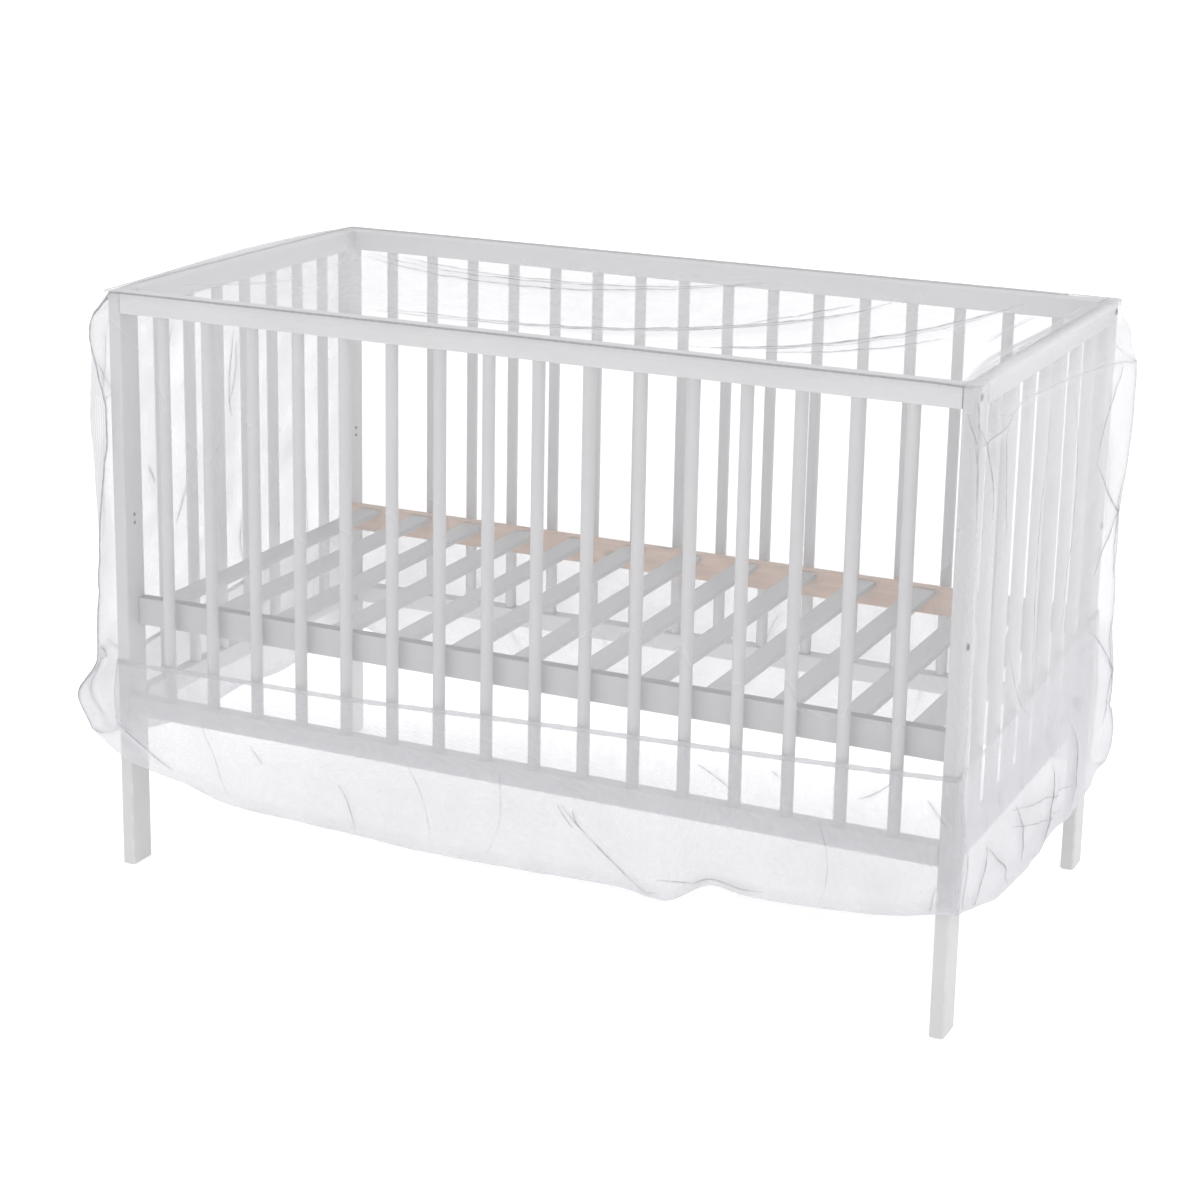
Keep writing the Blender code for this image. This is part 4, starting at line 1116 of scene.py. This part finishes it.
def corner_profiles():
    """How far each wall stands out at its low and its high end, by height."""
    heights = np.linspace(0.05, HEIGHT + 0.01, 400)
    made = {}
    for name, wall in WALLS.items():
        count = len(column_places(wall)[3])
        out = wall_out(name, np.broadcast_to(heights[:, None], (len(heights), count)))[0]
        made[name] = (heights, out[:, 0], out[:, -1])
    return made


def neighbour_outs(name, z, profiles):
    """How far the two next walls stand out at the corners, at the height of each point of a wall."""
    own = 1 if WALLS[name].sign < 0 else 2
    return [np.interp(z, profiles[side][0], profiles[side][own]) for side in NEIGHBOURS[name]]


def wall_points(name, out, low_out, high_out, z):
    """The places of a wall's grid. Its ends are quarter-circle corners, cut at their middle: along the
    arc the cloth stands R (1 - cos a) nearer the crib and R - R sin a from the next wall."""
    wall = WALLS[name]
    share, angle, side, _ = column_places(wall)
    half_along = HALF_SPAN[wall.axis]
    half_across = HALF_SPAN[1 - wall.axis]
    low = -half_along - low_out + CORNER_ROUND
    high = half_along + high_out - CORNER_ROUND
    along = low + (high - low) * (share + 1) / 2 + side * CORNER_ROUND * np.sin(angle)
    across = wall.sign * (half_across + out - CORNER_ROUND * (1 - np.cos(angle)))
    points = np.empty(out.shape + (3,))
    points[..., wall.axis] = along + MIDDLE[wall.axis]
    points[..., 1 - wall.axis] = across + MIDDLE[1 - wall.axis]
    points[..., 2] = z
    return points


def outer_z():
    """The heights of the outer layer's rows on each wall, from the top seam down to the pouch's turn."""
    share = np.linspace(0.0, 1.0, WALL_ROWS)[:, None]
    rows = {}
    for name, wall in WALLS.items():
        v = wall_values(wall)
        bend = v["fold_z"] + TURN_DEPTH
        rows[name] = v["seam_z"] + (bend - v["seam_z"]) * share
    return rows


def wall_sections():
    """Every wall's rows from the top seam to the elastic: how far they stand out, heights and layers."""
    turn = np.linspace(0.0, pi, TURN_ROWS + 1)[1:, None]
    up = np.linspace(0.0, 1.0, RETURN_ROWS + 1)[1:, None]
    heights = outer_z()
    made = {}
    for name, wall in WALLS.items():
        v = wall_values(wall)
        place = column_places(wall)[3]
        z = heights[name]
        out, layers = wall_out(name, z)
        bend = v["fold_z"] + TURN_DEPTH
        last = out[-1]
        turn_out = (last + RETURN_OUT) / 2 + (last - RETURN_OUT) / 2 * np.cos(turn)
        turn_z = bend - TURN_DEPTH * np.sin(turn)
        stop = v["grip_z"] - BAND_HIGH / 2 + BAND_OVERLAP
        back_z = bend + (stop - bend) * up
        along = np.broadcast_to(place, back_z.shape)
        gather = soft_waves(along, back_z * GATHER_STRETCH, wall.seed + GATHER_SEED, GATHER_LENGTH)
        slack = np.sin(pi * up) ** 2
        back_out = RETURN_OUT + (RETURN_TOP_OUT - RETURN_OUT) * up ** 3
        back_out = back_out + RETURN_SLACK * slack
        back_out = back_out + GATHER_HEIGHT * gather * np.clip(up * 2, 0.0, 1.0) * (1.15 - up)
        back_out = np.maximum(back_out, LEAST_RETURN_OUT)
        back_layers = RETURN_LAYERS - LAYERS_LOST * up + GATHER_LAYERS * np.exp(-(gather / 0.25) ** 2) * up
        made[name] = {
            "z": np.concatenate((z, turn_z, back_z)),
            "out": np.concatenate((out, turn_out, back_out)),
            "layers": np.concatenate((layers, np.broadcast_to(layers[-1], turn_z.shape), back_layers)),
        }
    return made


def sheet_plane(points, place):
    """Where the points of a wall lie in the flat cloth: their place along it, and the length of cloth from
    the top down each column."""
    step = np.linalg.norm(np.diff(points, axis=0), axis=2)
    down = np.concatenate((np.zeros((1, points.shape[1])), np.cumsum(step, axis=0)))
    down = np.repeat(down.mean(axis=1, keepdims=True), points.shape[1], axis=1)
    return np.stack((np.broadcast_to(place, down.shape), down), axis=-1)


def seam_layers(distance, layers):
    """The layers of cloth that a seam's allowance adds at a distance from the seam."""
    return layers / (1 + (distance / SEAM_ALLOWANCE) ** 8)


def net_walls():
    """The four walls' grids of points, with their layers of cloth and their flat places."""
    sections = wall_sections()
    profiles = corner_profiles()
    made = {}
    for name, wall in WALLS.items():
        section = sections[name]
        own = 0 if wall.sign < 0 else -1
        ends = []
        for side, outer in zip(NEIGHBOURS[name], neighbour_outs(name, section["z"][:WALL_ROWS], profiles)):
            below = sections[side]["out"][WALL_ROWS:, own][:, None]
            ends.append(np.concatenate((outer, np.broadcast_to(below, (len(below), outer.shape[1])))))
        points = wall_points(name, section["out"], ends[0], ends[1], section["z"])
        plane = sheet_plane(points, column_places(wall)[3])
        to_corner = np.maximum(HALF_SPAN[wall.axis] - np.abs(plane[..., 0]), 0.0)
        layers = section["layers"] + seam_layers(to_corner, CORNER_SEAM_LAYERS)
        layers += seam_layers(plane[..., 1], TOP_SEAM_LAYERS)
        made[name] = {"points": points, "layers": layers, "plane": plane}
    return made


def top_height(x, y):
    """Height of the top panel and its layers: flat on the rails and sagging inside them."""
    cloth = bpy.context.scene.net_cloth
    span_x = HALF_LENGTH - SAG_INSET
    span_y = HALF_WIDTH - SAG_INSET
    depth_x = np.clip((span_x - np.abs(x)) / span_x, 0.0, 1.0)
    depth_y = np.clip((span_y - np.abs(y)) / span_y, 0.0, 1.0)
    bowl = np.sin(pi / 2 * np.sqrt(depth_x)) ** 1.5 * np.sin(pi / 2 * np.sqrt(depth_y)) ** 2
    push, layers = crease_push(TOP_CREASES, x, y)
    waves = soft_waves(x, y, TOP_SEEDS[0], TOP_WAVES[0])
    waves = waves + 0.5 * soft_waves(x, y, TOP_SEEDS[1], TOP_WAVES[1])
    lines = crumple_lines(x, y * 1.5, TOP_SEEDS[2], TOP_LINES, 0.07)
    layers = 1.0 + layers + (TOP_DENSER + 0.08 * waves + 0.6 * lines) * bowl
    return HEIGHT + RIM_CLEAR - (SAG - push - cloth.crumple * waves) * bowl, layers


def loop_of(values):
    """Joins the four walls' rows by columns into one loop, anticlockwise from the front left corner."""
    return np.concatenate((values["front"][:, :-1], values["right"][:, :-1],
                           values["back"][:, ::-1][:, :-1], values["left"][:, ::-1][:, :-1]), axis=1)


def top_panel():
    """The top panel: a grid between the rails and closed loops that roll over them down to the seam.

    The roll is a quarter of an ellipse from just inside the rail's outer edge, at the rim's height, to
    the wall's place just above the rail's top."""
    places = {name: column_places(wall)[3] for name, wall in WALLS.items()}
    lifts = {"front": np.zeros_like(places["front"]), "back": np.zeros_like(places["back"]),
             "right": curve_through(places["right"], RIGHT_LIFT, "along", "height"),
             "left": curve_through(places["left"], LEFT_LIFT, "along", "height")}
    quarter = np.linspace(pi / 2, 0.0, ROLL_ROWS)[:, None]
    share = np.linspace(0.0, 1.0, OVERHANG_ROWS)[1:, None]
    start_z = HEIGHT + SEAM_RISE
    outs, heights, layers = {}, {}, {}
    for name, wall in WALLS.items():
        rim_z = HEIGHT + RIM_CLEAR + lifts[name]
        level = np.full((1, len(places[name])), start_z)
        start_out = wall_out(name, level)[0]
        roll_out = ROLL_OUT + (start_out - ROLL_OUT) * np.cos(quarter)
        roll_z = start_z + (rim_z - start_z) * np.sin(quarter)
        seam_z = wall_values(wall)["seam_z"]
        hang_z = start_z + (seam_z - start_z) * share
        hang_out, hang_layers = wall_out(name, hang_z)
        rim = np.full((1, len(places[name])), -RIM_INSIDE)
        outs[name] = np.concatenate((rim, roll_out, hang_out))
        heights[name] = np.concatenate((rim_z[None], roll_z, hang_z))
        crest = EDGE_LAYERS[name] * np.cos(quarter) ** 2 * np.ones_like(roll_out)
        layers[name] = np.concatenate((np.ones_like(rim), 1.0 + crest, hang_layers))
    points = {}
    profiles = corner_profiles()
    rolled = ROLL_ROWS + 1
    for name, wall in WALLS.items():
        own = 0 if wall.sign < 0 else -1
        ends = []
        for side, hung in zip(NEIGHBOURS[name], neighbour_outs(name, heights[name][rolled:], profiles)):
            above = outs[side][:rolled, own][:, None]
            ends.append(np.concatenate((np.broadcast_to(above, (rolled, hung.shape[1])), hung)))
        points[name] = wall_points(name, outs[name], ends[0], ends[1], heights[name])
    for name in points:
        to_seam = points[name][..., 2] - points[name][-1:, :, 2]
        layers[name] = layers[name] + seam_layers(to_seam, TOP_SEAM_LAYERS)
    xs = points["front"][0, :, 0]
    ys = points["right"][0, :, 1]
    x, y = np.meshgrid(xs, ys, indexing="ij")
    local_x = x - MIDDLE[0]
    local_y = y - MIDDLE[1]
    z, grid_layers = top_height(local_x, local_y)
    fade_right = np.clip(1 - (HALF_LENGTH - local_x) / LIFT_REACH, 0.0, 1.0) ** 2
    fade_left = np.clip(1 - (HALF_LENGTH + local_x) / LIFT_REACH, 0.0, 1.0) ** 2
    z = z + fade_right * lifts["right"][None] + fade_left * lifts["left"][None]
    grid = np.stack((x, y, z), axis=-1)
    loops = loop_of({name: points[name][1:] for name in points})
    loop_layers = loop_of({name: layers[name][1:] for name in layers})
    columns, rows = grid.shape[:2]
    number = np.arange(columns * rows).reshape(columns, rows)
    border = np.concatenate((number[:-1, 0], number[-1, :-1], number[::-1, -1][:-1], number[0, ::-1][:-1]))
    offset = grid.shape[0] * grid.shape[1]
    count = len(border)
    first_loop = offset + np.arange(count)
    joint = np.stack((border, first_loop, np.roll(first_loop, -1), np.roll(border, -1)), axis=1)
    faces = grid_faces(columns, rows, flip=True) + joint.tolist()
    faces += grid_faces(loops.shape[0], count, closed=True, start=offset, flip=True)
    verts = np.concatenate((grid.reshape(-1, 3), loops.reshape(-1, 3)))
    steps = np.linalg.norm(np.diff(loops, axis=0), axis=2)
    hang = np.concatenate((np.zeros((1, count)), np.cumsum(steps, axis=0)))
    edge = grid.reshape(-1, 3)[border][:, :2]
    away = loops[-1][:, :2] - np.array(MIDDLE)
    away /= np.linalg.norm(away, axis=1)[:, None]
    plane = np.concatenate((grid[..., :2].reshape(-1, 2),
                            (edge[None] + (0.008 + hang)[..., None] * away[None]).reshape(-1, 2)))
    all_layers = np.concatenate((grid_layers.ravel(), loop_layers.ravel()))
    return verts, faces, all_layers, plane, loops[-1]


def crease_path(crease):
    """Places along a crease, from its start to its end."""
    places = (np.array(place) for place in (crease.start, crease.middle, crease.end))
    return on_parabola(*places, np.linspace(0.0, 1.0, LINE_PLACES)[:, None])


def on_wall(name, made, path):
    """The points of a wall's outer layer at places given along it and in height, from its grid by
    straight-line interpolation in both directions."""
    wall = WALLS[name]
    v = wall_values(wall)
    column = np.interp(path[:, 0], column_places(wall)[3], np.arange(len(v["seam_z"])))
    left = np.clip(column.astype(int), 0, len(v["seam_z"]) - 2)
    across = (column - left)[:, None]
    found = 0.0
    for step, weight in ((0, 1 - across), (1, across)):
        top = v["seam_z"][left + step]
        bottom = v["fold_z"][left + step] + TURN_DEPTH
        row = np.clip((path[:, 1] - top) / (bottom - top), 0.0, 1.0) * (WALL_ROWS - 1)
        above = np.clip(row.astype(int), 0, WALL_ROWS - 2)
        down = (row - above)[:, None]
        points = made["points"]
        upper = points[above, left + step]
        lower = points[above + 1, left + step]
        found = found + weight * (upper * (1 - down) + lower * down)
    return found


def crease_lines(walls):
    """The sharp creases as thin dark lines on the cloth, painted shade along the folds, thicker where more
    cloth is doubled over and thinning out to both ends."""
    parts = []
    taper = np.sqrt(np.sin(pi * np.linspace(0.04, 0.96, LINE_PLACES)))
    for name, wall in WALLS.items():
        for crease in wall.creases:
            if crease.layers and crease.half_width < BROAD_CREASE:
                path = on_wall(name, walls[name], crease_path(crease))
                parts.append(tube(path, LINE_RADIUS * sqrt(crease.layers) * taper, sides=6))
    for crease in TOP_CREASES:
        path = crease_path(crease)
        height = top_height(path[:, 0], path[:, 1])[0]
        path = np.stack((path[:, 0] + MIDDLE[0], path[:, 1] + MIDDLE[1], height), axis=1)
        parts.append(tube(path, LINE_RADIUS * sqrt(crease.layers) * taper, sides=6))
    return join_parts(parts)


def tube(path, radius, closed=False, sides=8, seed=5):
    """A thin tube along a path: a circle square to it at each point, its radius changing a little along the
    way like a line of stitches."""
    path = np.asarray(path, float)
    if closed:
        forward = np.roll(path, -1, axis=0) - np.roll(path, 1, axis=0)
    else:
        forward = np.gradient(path, axis=0)
    forward /= np.linalg.norm(forward, axis=1)[:, None]
    aside = np.cross(forward, (0.31, 0.17, 0.93))
    aside /= np.linalg.norm(aside, axis=1)[:, None]
    upward = np.cross(forward, aside)
    chance = np.random.default_rng(seed).uniform(0, 0.8, len(path))
    swell = radius * (1 + 0.22 * np.cos(np.arange(len(path)) * 1.9 + chance))
    angle = np.arange(sides) * 2 * pi / sides
    ring = aside[:, None] * np.cos(angle)[:, None] + upward[:, None] * np.sin(angle)[:, None]
    verts = path[:, None] + swell[:, None, None] * ring
    faces = grid_faces(len(path), sides, closed=True, looped=closed, flip=True)
    if not closed:
        faces += end_faces(len(path), sides, flip=True)
    return verts.reshape(-1, 3), faces


def elastic_casing():
    """The gathered casing round the mouth: a flattened ellipse carried round the crib, whose height and
    thickness ripple as the elastic draws the cloth together."""
    places = {name: column_places(wall)[3] for name, wall in WALLS.items()}
    grip = loop_of({name: wall_values(wall)["grip_z"][None] for name, wall in WALLS.items()})[0]
    flat = {}
    for name, wall in WALLS.items():
        level = np.zeros((1, len(places[name])))
        flat[name] = wall_points(name, level, level, level, level)
    base = loop_of(flat)[0]
    away = base[:, :2] - np.roll(base, 1, axis=0)[:, :2] + np.roll(base, -1, axis=0)[:, :2] - base[:, :2]
    away = np.stack((away[:, 1], -away[:, 0]), axis=1)
    away /= np.linalg.norm(away, axis=1)[:, None]
    count = len(base)
    step = np.linalg.norm(np.diff(np.concatenate((base, base[:1])), axis=0), axis=1)
    length = np.concatenate(([0.0], np.cumsum(step)[:-1]))
    around = length / step.sum() * 2 * pi
    ripple = np.cos(around * 340 + 2.0 * np.sin(around * 23)) * (0.6 + 0.4 * np.sin(around * 57))
    section = np.linspace(0.0, 2 * pi, 10, endpoint=False)
    thick = BAND_THICK / 2 * (1 + 0.30 * ripple)
    high = BAND_HIGH / 2 * (1 + 0.10 * np.sin(around * 121) + 0.06 * ripple)
    verts = np.empty((len(section), count, 3))
    for row, angle in enumerate(section):
        out = BAND_OUT + thick * cos(angle) + 0.0003 * ripple
        verts[row, :, :2] = base[:, :2] + away * np.maximum(out, 0.0008)[:, None]
        verts[row, :, 2] = grip + high * sin(angle)
    return verts.reshape(-1, 3), grid_faces(len(section), count, closed=True, looped=True)


class CRIB_OT_net(bpy.types.Operator):
    """Build the net: its five panels, the seams between them and the gathered elastic"""
    bl_idname = "crib.net"
    bl_label = "Net"

    def execute(self, context):
        walls = net_walls()
        verts, faces, layers, plane, seam = top_panel()
        top = make_piece("net_top_cloth", verts, faces, net_mesh(), values={"layers": layers}, plane=plane)
        declare(top, "net_mesh", "net_top")
        for name, wall in WALLS.items():
            made = walls[name]
            rows, columns = made["points"].shape[:2]
            flip = name in ("front", "right")
            panel = make_piece("net_%s_cloth" % name, made["points"].reshape(-1, 3),
                               grid_faces(rows, columns, flip=flip), net_mesh(),
                               values={"layers": made["layers"].ravel()}, plane=made["plane"].reshape(-1, 2))
            declare(panel, "net_mesh", "net_%s" % name)
        verts, faces = tube(seam, SEAM_RADIUS, closed=True)
        to_right = np.clip((verts[:, 0] - MIDDLE[0] - HALF_LENGTH + PALE_RUN) / PALE_RUN, 0.0, 1.0)
        top_seam = make_piece("net_top_seam", verts, faces, seam_yarn(), values={"faint": to_right})
        corners = []
        for name, column, paleness in CORNER_SEAMS:
            verts, faces = tube(walls[name]["points"][:WALL_ROWS + TURN_ROWS // 2, column], SEAM_RADIUS)
            corners.append((verts, faces, np.full(len(verts), paleness)))
        verts, faces, faint = join_parts(corners)
        corner_seams = make_piece("net_corner_seams", verts, faces, seam_yarn(), values={"faint": faint})
        declare(make_piece("net_crease_lines", *crease_lines(walls), fold_shade()), "net_mesh")
        verts, faces = elastic_casing()
        casing = make_piece("net_elastic_casing", verts, faces, seam_yarn(),
                            values={"faint": np.full(len(verts), CASING_PALENESS)})
        declare(top_seam, "elastic")
        declare(corner_seams, "elastic")
        declare(casing, "elastic", "net_elastic")
        return {"FINISHED"}


# Studio

class CRIB_OT_studio(bpy.types.Operator):
    """Set up the floor, the light and the camera"""
    bl_idname = "crib.studio"
    bl_label = "Studio"

    def execute(self, context):
        look = context.scene.studio_look
        self.make_floor(look)
        self.make_light(context, look)
        self.make_camera(context)
        return {"FINISHED"}

    def make_floor(self, look):
        material, tree, shader = start_material("studio_floor")
        slow = noise(tree, object_places(tree, (-300, 0)), (-50, 0), 2.0)
        rough = spread(tree, slow, (200, 0), target=(0.85, 0.95))
        fill_inputs(tree, shader, {"Roughness": rough, "Base Color": opaque(look.floor),
                                   "Emission Color": (1.0, 1.0, 1.0, 1.0), "Emission Strength": look.glow,
                                   "Specular IOR Level": 0.1})
        verts = [(x * FLOOR_REACH, y * FLOOR_REACH, FLOOR_Z) for x, y in ((-1, -1), (1, -1), (1, 1), (-1, 1))]
        floor = make_piece("studio_floor", verts, [(0, 1, 2, 3)], material)

    def make_light(self, context, look):
        world = bpy.data.worlds.new("studio_surround")
        world.use_nodes = True
        background = world.node_tree.nodes["Background"]
        background.inputs["Color"].default_value = (1.0, 1.0, 1.0, 1.0)
        background.inputs["Strength"].default_value = look.surround
        context.scene.world = world
        lamp = bpy.data.lights.new("key_light", "AREA")
        lamp.shape = "RECTANGLE"
        lamp.size = KEY_SIZE
        lamp.size_y = KEY_SIZE
        lamp.energy = look.key
        item = bpy.data.objects.new("key_light", lamp)
        context.scene.collection.objects.link(item)
        item.location = KEY_PLACE
        aim = Vector(KEY_TARGET) - Vector(item.location)
        item.rotation_euler = aim.to_track_quat("-Z", "Y").to_euler()

    def make_camera(self, context):
        """The camera's fitted place and direction: it looks along (sin yaw cos pitch, cos yaw cos pitch,
        -sin pitch), rolled about that line."""
        yaw, pitch, roll = CAMERA_YAW, CAMERA_PITCH, CAMERA_ROLL
        forward = Vector((sin(yaw) * cos(pitch), cos(yaw) * cos(pitch), -sin(pitch)))
        level = Vector((cos(yaw), -sin(yaw), 0.0))
        above = level.cross(forward)
        right = cos(roll) * level + sin(roll) * above
        up = cos(roll) * above - sin(roll) * level
        camera = bpy.data.cameras.new("photo_camera")
        camera.sensor_width = SENSOR_WIDTH
        camera.lens = FOCAL_PIXELS * SENSOR_WIDTH / FRAME_PIXELS
        camera.shift_y = -0.1
        camera.clip_end = 200.0
        item = bpy.data.objects.new("photo_camera", camera)
        context.scene.collection.objects.link(item)
        turn = Matrix((right, up, -forward)).transposed().to_4x4()
        place = Vector([value + shift for value, shift in zip(CAMERA_PLACE, (*MIDDLE, 0.0))])
        item.matrix_world = Matrix.Translation(place) @ turn
        context.scene.camera = item
        context.scene.view_settings.view_transform = "Standard"


class CRIB_PT_net(bpy.types.Panel):
    """The crib's and the net's settings, and the buttons that build them"""
    bl_idname = "CRIB_PT_net"
    bl_label = "Crib Net"
    bl_space_type = "VIEW_3D"
    bl_region_type = "UI"
    bl_category = "Crib Net"

    def draw(self, context):
        layout = self.layout
        for group, operators in (("crib_finish", WOOD_OPERATORS), ("net_cloth", NET_OPERATORS),
                                 ("studio_look", STUDIO_OPERATORS)):
            box = layout.box()
            values = getattr(context.scene, group)
            for name in values.__annotations__:
                box.prop(values, name)
            for operator in operators:
                box.operator(operator)


WOOD_OPERATORS = ("crib.posts_and_rails", "crib.side_slats", "crib.end_grilles", "crib.base", "crib.bolts")
NET_OPERATORS = ("crib.net",)
STUDIO_OPERATORS = ("crib.studio",)

CLASSES = (CribFinish, NetCloth, StudioLook, CRIB_OT_posts_and_rails, CRIB_OT_side_slats,
           CRIB_OT_end_grilles, CRIB_OT_base, CRIB_OT_bolts, CRIB_OT_net, CRIB_OT_studio, CRIB_PT_net)


def register():
    for item in CLASSES:
        bpy.utils.register_class(item)
    bpy.types.Scene.crib_finish = bpy.props.PointerProperty(type=CribFinish)
    bpy.types.Scene.net_cloth = bpy.props.PointerProperty(type=NetCloth)
    bpy.types.Scene.studio_look = bpy.props.PointerProperty(type=StudioLook)


def unregister():
    del bpy.types.Scene.studio_look
    del bpy.types.Scene.net_cloth
    del bpy.types.Scene.crib_finish
    for item in reversed(CLASSES):
        bpy.utils.unregister_class(item)


def main():
    register()
    bpy.ops.crib.posts_and_rails()
    bpy.ops.crib.side_slats()
    bpy.ops.crib.end_grilles()
    bpy.ops.crib.base()
    bpy.ops.crib.bolts()
    bpy.ops.crib.net()
    bpy.ops.crib.studio()
    bpy.context.view_layer.update()


if __name__ == "__main__":
    main()
